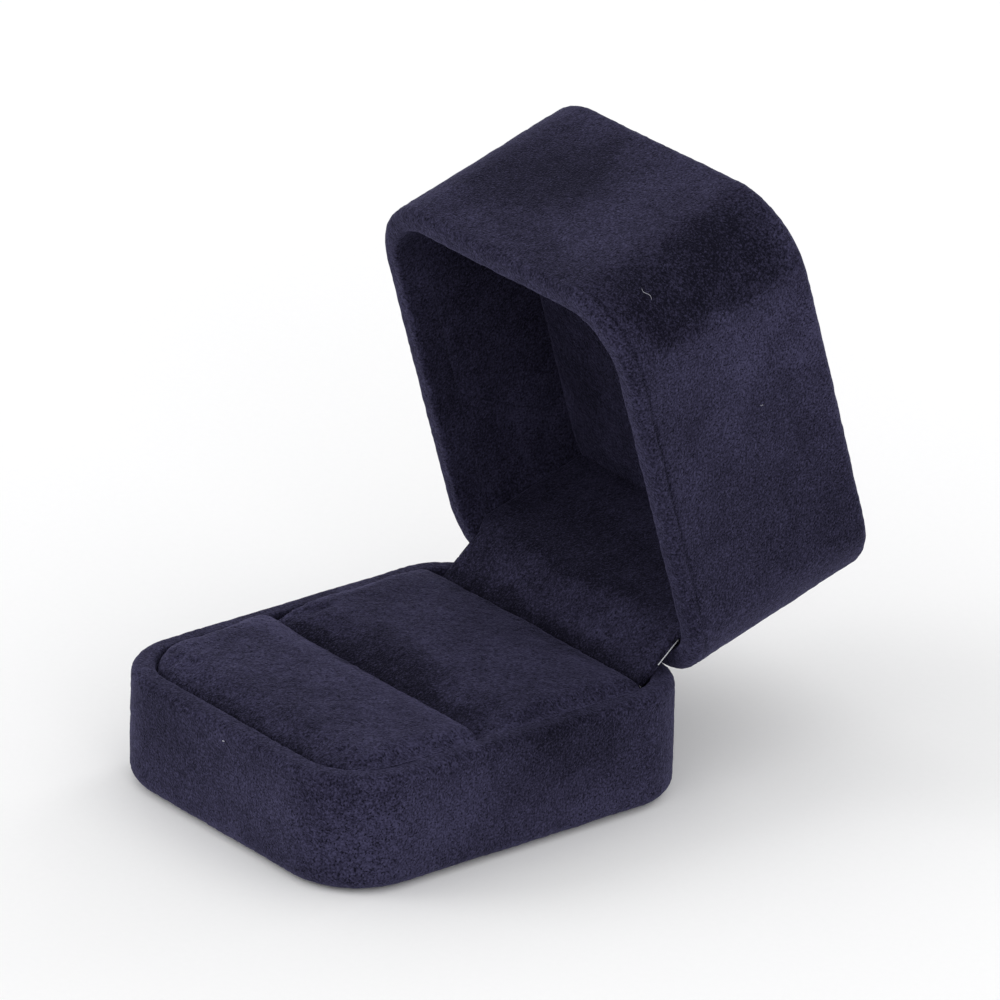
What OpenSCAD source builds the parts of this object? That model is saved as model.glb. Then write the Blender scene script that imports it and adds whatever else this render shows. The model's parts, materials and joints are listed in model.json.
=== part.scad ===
// Velvet-covered ring box with a sprung, double-pin lid hinge, modelled open.
// Millimetres. X is the width, +Y is the hinge side, +Z is up.
// The origin is on the middle of the underside of the base.
// Every sub-part is drawn in the closed box first and then turned open about its pins.

/* [Box] */
// Width of the box, side to side
box_w = 60; // [52:1:80]
// Depth of the box, front to hinge side
box_d = 68; // [60:1:90]
// Height of the base tray
base_h = 18.7; // [16:0.1:26]
// Height of the lid
lid_h = 34.9; // [30:0.1:46]
// Plan radius of the two front corners
front_r = 12.8; // [9.5:0.1:18]
// Plan radius of the two corners at the hinge
rear_r = 11.1; // [9.2:0.1:14]
// Gap between the two rims when the box is shut
rim_gap = 0.4; // [0.3:0.05:1]

/* [Edges] */
// Rounding of both rims, outside
rim_r = 1.6; // [1.2:0.1:2]
// Rounding of both rims, inside
rim_inner_r = 0.5; // [0.2:0.1:0.6]
// Rounding under the base
foot_r = 2.7; // [1.6:0.1:4]
// Rounding round the top of the lid
crown_r = 2; // [1.6:0.1:4]

/* [Shells and covering] */
// Thickness of the velvet covering
wrap_t = 0.6; // [0.3:0.05:0.9]
// Wall thickness of the moulded shells
shell_wall = 2.4; // [1.8:0.1:3]
// Floor thickness of the base shell and top thickness of the lid shell
shell_floor = 2; // [1.2:0.1:3]
// How far the covering turns down inside the rims
turn_in = 5; // [3:0.1:8]
// How far the covering turns in under the base
turn_under = 7; // [6:0.1:7.5]
// Thickness of the card lining on the inside of the walls
liner_t = 0.6; // [0.3:0.05:0.9]
// How far the underside felt stands below the covering
felt_proud = 0.2; // [0.1:0.05:0.5]
// Thickness of the underside felt
felt_t = 0.4; // [0.2:0.05:0.6]

/* [Ring pads] */
// Depth of the front pad, front to slot
front_pad_d = 24.6; // [20:0.1:30]
// Width of the ring slot between the pads
slot_w = 0.8; // [0.4:0.1:2]
// Height of the pads' middles above the rim
pad_rise = 1.6; // [0.5:0.1:3]
// Fall of each pad from its middle to its edges
pad_crown = 2.6; // [1:0.1:4]
// Thickness of the velvet round the pad foams
pad_cover_t = 0.6; // [0.3:0.1:1]
// Height of the card riser under the pads
riser_h = 4; // [2:0.1:6]
// Wall thickness of the card risers
riser_t = 1; // [0.6:0.1:2]
// Thickness of the boards that carry the pads and the lid panel
board_t = 0.8; // [0.5:0.1:1.5]
// Free play round the pads and boards
fit_gap = 0.15; // [0.05:0.05:0.3]

/* [Lid lining] */
// Height of the lid's inside panel above the lid rim
panel_h = 22.6; // [18:0.1:24]
// Thickness of the foam in the lid's inside panel
panel_foam_t = 1.5; // [1:0.1:3]
// Thickness of the velvet skins inside the lid and on the hinge cover
skin_t = 0.5; // [0.3:0.05:0.8]
// Thickness of the card under those skins
card_t = 0.5; // [0.3:0.05:0.8]
// Height of the lower edge of the lid's rear lining above the lid rim
rear_card_low = 3.3; // [3:0.1:6]

/* [Hinge] */
// Length of the hinge along its pins
hinge_w = 34; // [24:1:36]
// Depth of the pins from the rear face
pin_depth = 2.4; // [2.3:0.1:2.6]
// Half the distance between the two pins
pin_half = 3.6; // [3.4:0.1:4]
// Radius of the hinge pins
pin_r = 0.4; // [0.35:0.05:0.45]
// Outer radius of the rolled knuckles
knuckle_r = 0.85; // [0.8:0.05:0.9]
// Running clearance round the pins
pin_clear = 0.05; // [0.02:0.01:0.08]
// Sheet thickness of the leaves and the bow spring
sheet_t = 0.4; // [0.3:0.05:0.5]
// Free play between metal parts that pass each other
metal_gap = 0.2; // [0.15:0.05:0.3]
// Length of each leaf knuckle along the pin
leaf_knuckle_w = 8; // [6:0.5:9]
// Height of the riveted part of each leaf
leaf_h = 8; // [6:0.1:9]
// Radius of the rivet shanks
rivet_r = 0.6; // [0.5:0.05:0.8]
// Radius of the rivet heads
rivet_head_r = 1.3; // [1:0.05:1.6]
// Height of the rivet heads
rivet_head_h = 0.35; // [0.2:0.05:0.5]
// Distance of each rivet from the middle
rivet_x = 11; // [8:0.5:14]
// Gap between the ends of the hinge cover and the rim's rear corners, as they pass
cover_side_gap = 0.1; // [0.1:0.05:1]
// Depth of the hinge cover's face from the rear face
cover_depth = 8; // [7.6:0.1:8.2]
// Reach of the hinge cover below the base rim
cover_low = 5.9; // [5:0.1:6.5]
// Reach of the hinge cover above the base rim
cover_high = 3.3; // [2.5:0.1:3.4]
// Space between the hinge cover and the rear pad
cover_gap = 1.1; // [0.9:0.1:1.5]
// Turn of the bow spring from shut to open
bow_turn = 50; // [40:0.5:50]
// Further turn of the lid on the bow spring
lid_turn = 23.5; // [20:0.5:24]

/* [Hidden] */
$fn = 96;

over = 1;                                  // how far a cut runs past the solid it cuts
velvet = "#2c2a3d";
shell_grey = "#3a3a40";
greyboard = "#a9a59c";
pale_card = "#d8d9dd";
foam_white = "#e6e2d6";
steel = "#b9bcc0";

// Walls, measured inwards from the outer face
shell_in = wrap_t + shell_wall;
rim_w = shell_in + wrap_t;
liner_in = shell_in + liner_t;
clear_in = max(rim_w, liner_in) + fit_gap;
shell_lap = foot_r + crown_r;              // reach of the shell's ring under its floor

// Heights in the shut box
wrap_low = felt_proud;
shell_low = wrap_low + wrap_t;
floor_top = shell_low + shell_floor;
lid_low = base_h + rim_gap;
lid_top = lid_low + lid_h;
lid_ceiling = lid_top - wrap_t - shell_floor;
hinge_z = base_h + rim_gap / 2;

// Hinge
rear_y = box_d / 2;
pin_y = rear_y - pin_depth;
base_pin_z = hinge_z - pin_half;
lid_pin_z = hinge_z + pin_half;
cover_face_y = rear_y - cover_depth;
cover_card_y = cover_face_y + skin_t;
cover_back_y = cover_card_y + card_t;
bow_y = cover_back_y + sheet_t / 2 + pin_half;
leaf_in = pin_depth + knuckle_r;
leaf_out = leaf_in - sheet_t;
bay_out = pin_depth - knuckle_r - metal_gap;
bay_h = pin_half - rim_gap / 2 + knuckle_r + metal_gap;
bay_w = hinge_w + 4 * metal_gap;
leaf_low = base_h - bay_h - leaf_h;
rivet_z = base_h - bay_h - leaf_h / 2;
bow_knuckle_w = hinge_w - 2 * leaf_knuckle_w - 2 * metal_gap;
tail_gap = 0.8;                            // between the hinge cover's lower edge and its tail

// Hinge cover: its back crosses the base's rim plane at cover_pass from the rear face when it is open
cover_arm = pin_y - cover_back_y;
cover_over_rim = base_pin_z + cover_arm * sin(bow_turn) - base_h;
cover_pass = pin_depth + cover_arm * cos(bow_turn) + cover_over_rim * tan(bow_turn);
cover_corner = sqrt(pow(rear_r - rim_w, 2) - pow(rear_r - cover_pass, 2));
cover_w = 2 * (box_w / 2 - rear_r + cover_corner - cover_side_gap);

// Ring pads
pads_rear_y = cover_face_y - cover_gap;
pads_front_y = clear_in - rear_y;
slot_front_y = pads_front_y + front_pad_d;
slot_rear_y = slot_front_y + slot_w;
board_low = floor_top + riser_h;
pad_low = board_low + board_t;
pad_top = base_h + pad_rise;

// Lid lining, upwards from the rim
rear_lining_low = lid_low + rear_card_low;
panel_low = lid_low + panel_h;
foam_low = panel_low + skin_t;
panel_board_low = foam_low + panel_foam_t;
spacer_low = panel_board_low + board_t;

// What a rounding of radius r takes off a square corner at the origin that faces -X and -Y
module corner_waste(r) {
    if (r > 0) difference() {
        translate([-over, -over]) square(r + over);
        translate([r, r]) circle(r);
    }
}

// Section of an upright wall: u0 to u1 inwards, v0 to v1 upwards, with its three rounded corners
module wall_bar(u0, u1, v0, v1, foot, outer, inner) {
    difference() {
        translate([u0, v0]) square([u1 - u0, v1 - v0]);
        translate([u0, v0]) corner_waste(foot);
        translate([u0, v1]) mirror([0, 1]) corner_waste(outer);
        translate([u1, v1]) rotate(180) corner_waste(inner);
    }
}

// Outline of the box seen from above, moved inwards
module plan(inset) {
    half_w = box_w / 2 - inset;
    half_d = box_d / 2 - inset;
    front = front_r - inset;
    rear = rear_r - inset;
    translate([-half_w, front - half_d]) square([2 * half_w, 2 * half_d - front - rear]);
    translate([front - half_w, -half_d]) square([2 * (half_w - front), half_d]);
    translate([rear - half_w, 0]) square([2 * (half_w - rear), half_d]);
    for (side = [-1, 1]) {
        translate([side * (half_w - front), front - half_d]) circle(front);
        translate([side * (half_w - rear), half_d - rear]) circle(rear);
    }
}

// A slab of the plan between two heights
module slab(inset, low, high) {
    translate([0, 0, low]) linear_extrude(high - low) plan(inset);
}

// Carries a wall section round the four sides and corners; the section's x runs inwards
module carry_round() {
    translate([front_r - box_w / 2, -box_d / 2, 0]) rotate([90, 0, 90])
        linear_extrude(box_w - 2 * front_r) children();
    mirror([0, 1, 0]) translate([rear_r - box_w / 2, -box_d / 2, 0]) rotate([90, 0, 90])
        linear_extrude(box_w - 2 * rear_r) children();
    for (side = [0, 1]) mirror([side, 0, 0]) {
        translate([box_w / 2, front_r - box_d / 2, 0]) rotate([90, 0, 180])
            linear_extrude(box_d - front_r - rear_r) children();
        translate([box_w / 2 - front_r, front_r - box_d / 2, 0]) rotate(-90)
            carry_corner(front_r) children();
        translate([box_w / 2 - rear_r, box_d / 2 - rear_r, 0]) carry_corner(rear_r) children();
    }
}

module carry_corner(r) {
    rotate_extrude(angle = 90) translate([r, 0]) mirror([1, 0]) children();
}

// A tray stands on low with its rim at high. The lid uses the same tray upside down.
module shell_section(low, high, foot) {
    wall_bar(wrap_t, shell_in, low + wrap_t, high - wrap_t, foot - wrap_t, rim_r - wrap_t, 0);
    wall_bar(wrap_t, shell_lap, low + wrap_t, low + wrap_t + shell_floor, foot - wrap_t, 0, 0);
}

module tray_shell(low, high, foot) {
    carry_round() shell_section(low, high, foot);
    slab(shell_lap - wrap_t, low + wrap_t, low + wrap_t + shell_floor);
}

module tray_wrap(low, high, foot, reach) {
    carry_round() difference() {
        union() {
            wall_bar(0, rim_w, low, high, foot, rim_r, rim_inner_r);
            wall_bar(0, reach, low, low + wrap_t, foot, 0, 0);
        }
        shell_section(low, high, foot);
        translate([shell_in, low + wrap_t]) square([rim_w, high - turn_in - low - wrap_t]);
    }
}

module tray_liner(low, high) {
    carry_round() translate([shell_in, low]) square([liner_t, high - low]);
}

// Turns a tray that stands on 0 upside down into the lid's place
module as_lid() {
    translate([0, 0, lid_top]) mirror([0, 0, 1]) children();
}

// Repeats a base-side hinge shape on the lid side
module across_hinge() {
    translate([0, 0, 2 * hinge_z]) mirror([0, 0, 1]) children();
}

// Turns the bow spring's body open about the base pin
module bow_pose() {
    translate([0, pin_y, base_pin_z]) rotate([-bow_turn, 0, 0])
        translate([0, -pin_y, -base_pin_z]) children();
}

// Turns the lid's body open about the lid pin and then with the bow spring
module lid_pose() {
    bow_pose() translate([0, pin_y, lid_pin_z]) rotate([-lid_turn, 0, 0])
        translate([0, -pin_y, -lid_pin_z]) children();
}

// A round bar along X, centred on x
module bar_x(x, y, z, r, length) {
    translate([x - length / 2, y, z]) rotate([0, 90, 0]) cylinder(h = length, r = r);
}

// Room in the base's rear wall for the knuckles and the leaf
module hinge_bay() {
    translate([-bay_w / 2, rear_y - clear_in - over, base_h - bay_h])
        cube([bay_w, clear_in + over - bay_out, bay_h + over]);
    translate([-bay_w / 2, rear_y - clear_in - over, leaf_low - metal_gap])
        cube([bay_w, clear_in + over - leaf_out, leaf_h + metal_gap + over]);
}

// Rivet shanks, from the leaf's inner face to the covering
module rivet_shanks() {
    for (side = [-1, 1]) translate([side * rivet_x, rear_y - wrap_t, rivet_z]) rotate([90, 0, 0])
        cylinder(h = leaf_in - wrap_t, r = rivet_r);
}

// One rolled leaf: two knuckles and a plate that stops short of the bow spring's knuckle
module leaf() {
    plate_top = base_pin_z - knuckle_r - metal_gap;
    difference() {
        union() {
            translate([-hinge_w / 2, rear_y - leaf_in, leaf_low])
                cube([hinge_w, sheet_t, plate_top - leaf_low]);
            for (side = [-1, 1]) {
                x = side * (hinge_w - leaf_knuckle_w) / 2;
                bar_x(x, pin_y, base_pin_z, knuckle_r, leaf_knuckle_w);
                translate([x - leaf_knuckle_w / 2, rear_y - leaf_in, leaf_low])
                    cube([leaf_knuckle_w, sheet_t, base_pin_z - leaf_low]);
            }
        }
        bar_x(0, pin_y, base_pin_z, pin_r, hinge_w + 2 * over);
        rivet_shanks();
    }
}

module rivets() {
    rivet_shanks();
    for (side = [-1, 1]) translate([side * rivet_x, rear_y - leaf_in, rivet_z]) rotate([90, 0, 0])
        cylinder(h = rivet_head_h, r = rivet_head_r);
}

module pin() {
    bar_x(0, pin_y, base_pin_z, pin_r, hinge_w + 2 * metal_gap);
}

// Base
module base_shell() {
    color(shell_grey) difference() {
        tray_shell(wrap_low, base_h, foot_r);
        hinge_bay();
        rivet_shanks();
    }
}

module base_wrap() {
    color(velvet) difference() {
        tray_wrap(wrap_low, base_h, foot_r, turn_under);
        hinge_bay();
    }
}

module base_wall_liner() {
    color(velvet) difference() {
        tray_liner(floor_top, base_h - turn_in);
        hinge_bay();
    }
}

module base_underside_board() {
    color(greyboard) slab(turn_under + fit_gap, felt_t, shell_low);
}

module base_underside_felt() {
    color(velvet) slab(turn_under + fit_gap, 0, felt_t);
}

// Outline of the ring insert, in front of the hinge cover
module insert_plan(inset) {
    intersection() {
        plan(clear_in + inset);
        translate([-box_w / 2, -box_d / 2]) square([box_w, box_d / 2 + pads_rear_y - inset]);
    }
}

module insert_riser() {
    color(greyboard) translate([0, 0, floor_top]) linear_extrude(riser_h) {
        difference() {
            insert_plan(0);
            insert_plan(riser_t);
        }
        intersection() {
            insert_plan(0);
            translate([-box_w / 2, slot_front_y - riser_t / 2]) square([box_w, riser_t]);
        }
    }
}

module insert_board() {
    color(greyboard) translate([0, 0, board_low]) linear_extrude(board_t) insert_plan(0);
}

// A pad whose round back spans front to rear, kept between low_y and high_y and shrunk by skin
module pad(front, rear, low_y, high_y, skin) {
    width = rear - front;
    back_r = (width * width / 4 + pad_crown * pad_crown) / (2 * pad_crown);
    intersection() {
        translate([0, 0, pad_low]) linear_extrude(pad_top - pad_low + over) insert_plan(skin);
        translate([-box_w / 2, 0, 0]) rotate([90, 0, 90]) linear_extrude(box_w) intersection() {
            translate([low_y, pad_low]) square([high_y - low_y, pad_top - pad_low + over]);
            translate([(front + rear) / 2, pad_top - back_r]) circle(back_r - skin);
        }
    }
}

module front_pad(skin) {
    pad(pads_front_y, slot_front_y, pads_front_y - over, slot_front_y - skin, skin);
}

module rear_pad(skin) {
    pad(slot_rear_y, pads_rear_y, slot_rear_y + skin, pads_rear_y + over, skin);
}

module front_pad_foam() {
    color(foam_white) front_pad(pad_cover_t);
}

module front_pad_cover() {
    color(velvet) difference() {
        front_pad(0);
        front_pad(pad_cover_t);
    }
}

module rear_pad_foam() {
    color(foam_white) rear_pad(pad_cover_t);
}

module rear_pad_cover() {
    color(velvet) difference() {
        rear_pad(0);
        rear_pad(pad_cover_t);
    }
}

module hinge_cover_tail() {
    color(velvet) translate([-cover_w / 2, pads_rear_y, pad_low])
        cube([cover_w, skin_t, base_h - cover_low - tail_gap - pad_low]);
}

module hinge_base_leaf() {
    color(steel) leaf();
}

module hinge_base_rivets() {
    color(steel) rivets();
}

module hinge_base_pin() {
    color(steel) pin();
}

// Bow spring and hinge cover
module bow_arch() {
    intersection() {
        difference() {
            circle(pin_half + sheet_t / 2);
            circle(pin_half - sheet_t / 2);
        }
        translate([-2 * pin_half, -2 * pin_half]) square([2 * pin_half, 4 * pin_half]);
    }
}

module hinge_bow_spring() {
    color(steel) bow_pose() difference() {
        union() {
            difference() {
                translate([-hinge_w / 2, bow_y, hinge_z]) rotate([90, 0, 90])
                    linear_extrude(hinge_w) bow_arch();
                for (side = [-1, 1], z = [base_pin_z, lid_pin_z])
                    bar_x(side * (hinge_w - leaf_knuckle_w - metal_gap + over) / 2, pin_y, z,
                        knuckle_r + metal_gap, leaf_knuckle_w + metal_gap + over);
            }
            for (z = [base_pin_z, lid_pin_z]) {
                bar_x(0, pin_y, z, knuckle_r, bow_knuckle_w);
                translate([-bow_knuckle_w / 2, bow_y - metal_gap, z - sheet_t / 2])
                    cube([bow_knuckle_w, pin_y - bow_y + metal_gap, sheet_t]);
            }
        }
        for (z = [base_pin_z, lid_pin_z]) bar_x(0, pin_y, z, pin_r + pin_clear, hinge_w);
    }
}

module cover_panel(y, t) {
    translate([-cover_w / 2, y, base_h - cover_low]) cube([cover_w, t, cover_low + cover_high]);
}

module hinge_cover_card() {
    color(pale_card) bow_pose() cover_panel(cover_card_y, card_t);
}

module hinge_cover_velvet() {
    color(velvet) bow_pose() cover_panel(cover_face_y, skin_t);
}

// Lid
module lid_shell() {
    color(shell_grey) lid_pose() difference() {
        as_lid() tray_shell(0, lid_h, crown_r);
        across_hinge() {
            hinge_bay();
            rivet_shanks();
        }
    }
}

module lid_wrap() {
    color(velvet) lid_pose() difference() {
        union() {
            as_lid() tray_wrap(0, lid_h, crown_r, shell_lap);
            slab(shell_lap - wrap_t, lid_top - wrap_t, lid_top);
        }
        across_hinge() hinge_bay();
    }
}

module lid_wall_liner() {
    color(velvet) lid_pose() difference() {
        tray_liner(lid_low + turn_in, lid_ceiling);
        across_hinge() hinge_bay();
    }
}

// Rear lining of the lid: a sheet of thickness t at depth y across the whole inside
module rear_lining(y, t) {
    intersection() {
        slab(clear_in, rear_lining_low, panel_low);
        translate([-box_w / 2, y, rear_lining_low]) cube([box_w, t, panel_h]);
    }
}

module lid_rear_card() {
    color(greyboard) lid_pose() rear_lining(cover_card_y, card_t);
}

module lid_rear_velvet() {
    color(velvet) lid_pose() rear_lining(cover_face_y, skin_t);
}

module lid_panel_velvet() {
    color(velvet) lid_pose() slab(clear_in, panel_low, foam_low);
}

module lid_panel_foam() {
    color(foam_white) lid_pose() slab(clear_in, foam_low, panel_board_low);
}

module lid_panel_board() {
    color(greyboard) lid_pose() slab(clear_in, panel_board_low, spacer_low);
}

module lid_spacer_frame() {
    color(greyboard) lid_pose() difference() {
        slab(clear_in, spacer_low, lid_ceiling);
        slab(clear_in + riser_t, spacer_low - over, lid_ceiling + over);
    }
}

module hinge_lid_leaf() {
    color(steel) lid_pose() across_hinge() leaf();
}

module hinge_lid_rivets() {
    color(steel) lid_pose() across_hinge() rivets();
}

module hinge_lid_pin() {
    color(steel) lid_pose() across_hinge() pin();
}

base_shell();
base_wrap();
base_wall_liner();
base_underside_board();
base_underside_felt();
insert_riser();
insert_board();
front_pad_foam();
front_pad_cover();
rear_pad_foam();
rear_pad_cover();
hinge_cover_tail();
hinge_base_leaf();
hinge_base_rivets();
hinge_base_pin();
hinge_bow_spring();
hinge_cover_card();
hinge_cover_velvet();
lid_shell();
lid_wrap();
lid_wall_liner();
lid_rear_card();
lid_rear_velvet();
lid_panel_board();
lid_panel_foam();
lid_panel_velvet();
lid_spacer_frame();
hinge_lid_leaf();
hinge_lid_rivets();
hinge_lid_pin();
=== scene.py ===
"""Looks for a velvet-covered ring box with a sprung lid hinge.

Metres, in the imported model's own frame: +X along the hinge pins, +Y towards the hinge, +Z up.
Lid and hinge-cover pieces are worked out in the shut box and then opened about the two pins.
"""

import json
from math import ceil, cos, pi, radians, sin

import bpy
import numpy as np
from mathutils import Matrix

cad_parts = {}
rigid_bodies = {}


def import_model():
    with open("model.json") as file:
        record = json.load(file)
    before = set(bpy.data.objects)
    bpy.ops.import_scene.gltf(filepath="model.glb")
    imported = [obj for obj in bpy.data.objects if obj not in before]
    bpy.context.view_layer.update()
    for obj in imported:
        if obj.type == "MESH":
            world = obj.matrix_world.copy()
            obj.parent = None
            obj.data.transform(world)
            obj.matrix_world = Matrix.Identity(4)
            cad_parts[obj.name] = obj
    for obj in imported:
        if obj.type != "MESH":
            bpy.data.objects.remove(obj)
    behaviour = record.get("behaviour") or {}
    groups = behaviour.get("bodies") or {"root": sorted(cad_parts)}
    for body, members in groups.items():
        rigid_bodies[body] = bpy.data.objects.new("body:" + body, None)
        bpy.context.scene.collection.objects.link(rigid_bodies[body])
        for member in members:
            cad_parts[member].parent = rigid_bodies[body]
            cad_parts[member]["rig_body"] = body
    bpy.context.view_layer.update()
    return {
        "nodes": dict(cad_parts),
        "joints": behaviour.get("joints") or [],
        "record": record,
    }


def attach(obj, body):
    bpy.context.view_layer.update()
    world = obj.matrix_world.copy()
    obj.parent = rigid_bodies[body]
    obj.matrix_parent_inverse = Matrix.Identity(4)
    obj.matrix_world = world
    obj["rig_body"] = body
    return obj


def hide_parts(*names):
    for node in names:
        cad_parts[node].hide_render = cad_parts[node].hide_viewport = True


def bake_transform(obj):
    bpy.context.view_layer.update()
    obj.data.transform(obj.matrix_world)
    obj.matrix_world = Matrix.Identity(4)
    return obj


bl_info = {
    "name": "Velvet ring box",
    "version": (1, 0, 0),
    "blender": (4, 5, 0),
    "location": "3D View > Sidebar > Ring box",
    "description": "Builds the cloth, pads, linings and finishes of a hinged ring box",
    "category": "Object",
}

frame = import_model()
RECORD = frame["record"]
JOINTS = {joint["name"]: joint for joint in frame["joints"]}
OPENING = {
    "base": (),
    "bow": ("bow_swing",),
    "lid": ("bow_swing", "lid_swing"),
}
MM = 0.001


# ---- Places ------------------------------------------------------------------------------

def turned(points, joint, degrees):
    """Points turned about a pin: y and z turn about the pin's own y and z, and x stays."""
    _, pin_y, pin_z = JOINTS[joint]["pos_m"]
    c, s = cos(radians(degrees)), sin(radians(degrees))
    out = np.array(points, float)
    y, z = out[..., 1] - pin_y, out[..., 2] - pin_z
    out[..., 1] = pin_y + y * c - z * s
    out[..., 2] = pin_z + y * s + z * c
    return out


def opened(points, body):
    """Points of the shut box, turned back by each joint's full travel to the stored open pose."""
    for joint in OPENING[body]:
        points = turned(points, joint, -JOINTS[joint]["range_deg"][1])
    return points


def shut(points, body):
    """The opposite of opened."""
    for joint in reversed(OPENING[body]):
        points = turned(points, joint, JOINTS[joint]["range_deg"][1])
    return points


def shut_box(node):
    """Lowest and highest corner of a CAD node in the shut box."""
    mesh = frame["nodes"][node].data
    points = np.empty(len(mesh.vertices) * 3)
    mesh.vertices.foreach_get("co", points)
    points = shut(points.reshape(-1, 3), frame["nodes"][node]["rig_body"])
    return points.min(0), points.max(0)


BASE_LOW, BASE_HIGH = shut_box("base_wrap")
LID_LOW, LID_HIGH = shut_box("lid_wrap")
LINER_LOW, LINER_HIGH = shut_box("lid_wall_liner")
PANEL_LOW, PANEL_HIGH = shut_box("lid_panel_velvet")
COVER_LOW, COVER_HIGH = shut_box("hinge_cover_velvet")
LINING_LOW, LINING_HIGH = shut_box("lid_rear_velvet")
TAIL_LOW, TAIL_HIGH = shut_box("hinge_cover_tail")
FELT_LOW, FELT_HIGH = shut_box("base_underside_felt")
FRONT_PAD = shut_box("front_pad_cover")
REAR_PAD = shut_box("rear_pad_cover")
PANEL_INSET = float(LID_HIGH[0] - PANEL_HIGH[0])
BASE_RIM = float(BASE_HIGH[2])
LID_RIM = float(LID_LOW[2])


# ---- Sizes and colours -------------------------------------------------------------------

def length(name, description, default, low=0.0, high=0.1):
    """A length in metres that the sidebar shows in the scene's unit."""
    return bpy.props.FloatProperty(name=name, description=description, default=default,
                                   min=low, max=high, precision=5, unit="LENGTH")


def colour(name, description, default):
    """A linear colour."""
    return bpy.props.FloatVectorProperty(name=name, description=description, default=default,
                                         size=3, min=0.0, max=1.0, subtype="COLOR")


class RingBoxSizes(bpy.types.PropertyGroup):
    """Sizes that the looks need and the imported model's boxes don't give."""
    front_radius: length("Front corners", "Plan radius of the two front corners", 0.0128)
    rear_radius: length("Rear corners", "Plan radius of the two corners at the hinge", 0.0111)
    rim_width: length("Rim width", "Width of both rims", 0.0036)
    rim_round: length("Rim rounding", "Rounding of both rims, outside", 0.0016)
    rim_inner_round: length("Inner rim rounding", "Rounding of both rims, inside", 0.0005)
    foot_round: length("Foot rounding", "Rounding under the base", 0.0027)
    crown_round: length("Crown rounding", "Rounding round the top of the lid", 0.002)
    cloth: length("Covering", "Thickness of the glued velvet covering", 0.0006)
    turn_in: length("Turn-in", "How far the covering turns down inside the rims", 0.005)
    turn_under: length("Turn-under", "How far the covering turns in under the base", 0.007)
    bay_half: length("Hinge bay", "Half the length of the hinge's room in the rear walls", 0.0174)
    bay_skin: length("Bay wall", "Wall left outside the hinge knuckles", 0.00134)
    leaf_skin: length("Leaf wall", "Wall left outside the hinge leaves", 0.00284)
    bay_reach: length("Bay reach", "Reach of the knuckles' room from the rim", 0.0046)
    leaf_reach: length("Leaf reach", "Reach of the leaves' room from the rim", 0.0127)
    crease_below: length("Crease", "Distance of the covering's crease line from the rim", 0.0021)
    crease_depth: length("Crease depth", "Depth of that line", 0.00011)
    ripple: length("Ripple", "Height of the cloth's soft unevenness", 0.00007)
    pile: length("Pile", "Height of the pile's own unevenness", 0.00007)
    cell: length("Cell", "Spacing of the grids that make the cloth", 0.0005, low=0.0002)
    pad_crown: length("Pad swell", "Furthest that the pads' cloth may swell", 0.0006)


class RingBoxColours(bpy.types.PropertyGroup):
    """Finishes of the cloth and the hidden parts."""
    # The deep colour also paints the shade on the pads, the linings and along the creases.
    velvet_deep: colour("Velvet, nap away", "Colour where the pile leans away",
                        (0.0040, 0.0037, 0.0088))
    velvet: colour("Velvet", "Colour of the upright pile", (0.0205, 0.0187, 0.0395))
    # This light colour also paints the highlights along the pads' left ends.
    velvet_bright: colour("Velvet, brushed", "Colour where the pile is brushed up",
                          (0.047, 0.044, 0.090))
    felt: colour("Felt", "Colour of the felt under the base", (0.016, 0.016, 0.027))
    card: colour("Card", "Colour of the hinge cover's card", (0.62, 0.63, 0.66))
    board: colour("Board", "Colour of the grey pulp board", (0.36, 0.34, 0.3))
    shell: colour("Shell", "Colour of the moulded shells", (0.045, 0.045, 0.052))
    foam: colour("Foam", "Colour of the foam", (0.76, 0.73, 0.66))
    steel: colour("Steel", "Colour of the hinge's steel", (0.6, 0.61, 0.63))
    lint: colour("Lint", "Colour of stray fibres", (0.42, 0.42, 0.48))
    floor: colour("Floor", "Colour of the floor", (0.93, 0.93, 0.935))


# ---- Surfaces ----------------------------------------------------------------------------

def lattice_noise(points, size, seed):
    """Smooth random values from -1 to 1: random numbers stand on a cubic lattice of that size,
    and the eight round a point are mixed by 3t^2 - 2t^3 of its place between them."""
    table = np.random.default_rng(seed).uniform(-1, 1, (48, 48, 48))
    scaled = np.asarray(points) / size
    cell = np.floor(scaled).astype(int)
    part = scaled - cell
    part = part * part * (3 - 2 * part)
    value = np.zeros(scaled.shape[:-1])
    for corner in np.ndindex(2, 2, 2):
        weight = np.prod(np.where(np.array(corner) == 1, part, 1 - part), axis=-1)
        at = (cell + corner) % 48
        value += weight * table[at[..., 0], at[..., 1], at[..., 2]]
    return value


def smooth(value, low, high):
    """0 below low, 1 above high, and 3t^2 - 2t^3 between."""
    t = np.clip((value - low) / (high - low), 0, 1)
    return t * t * (3 - 2 * t)


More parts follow.
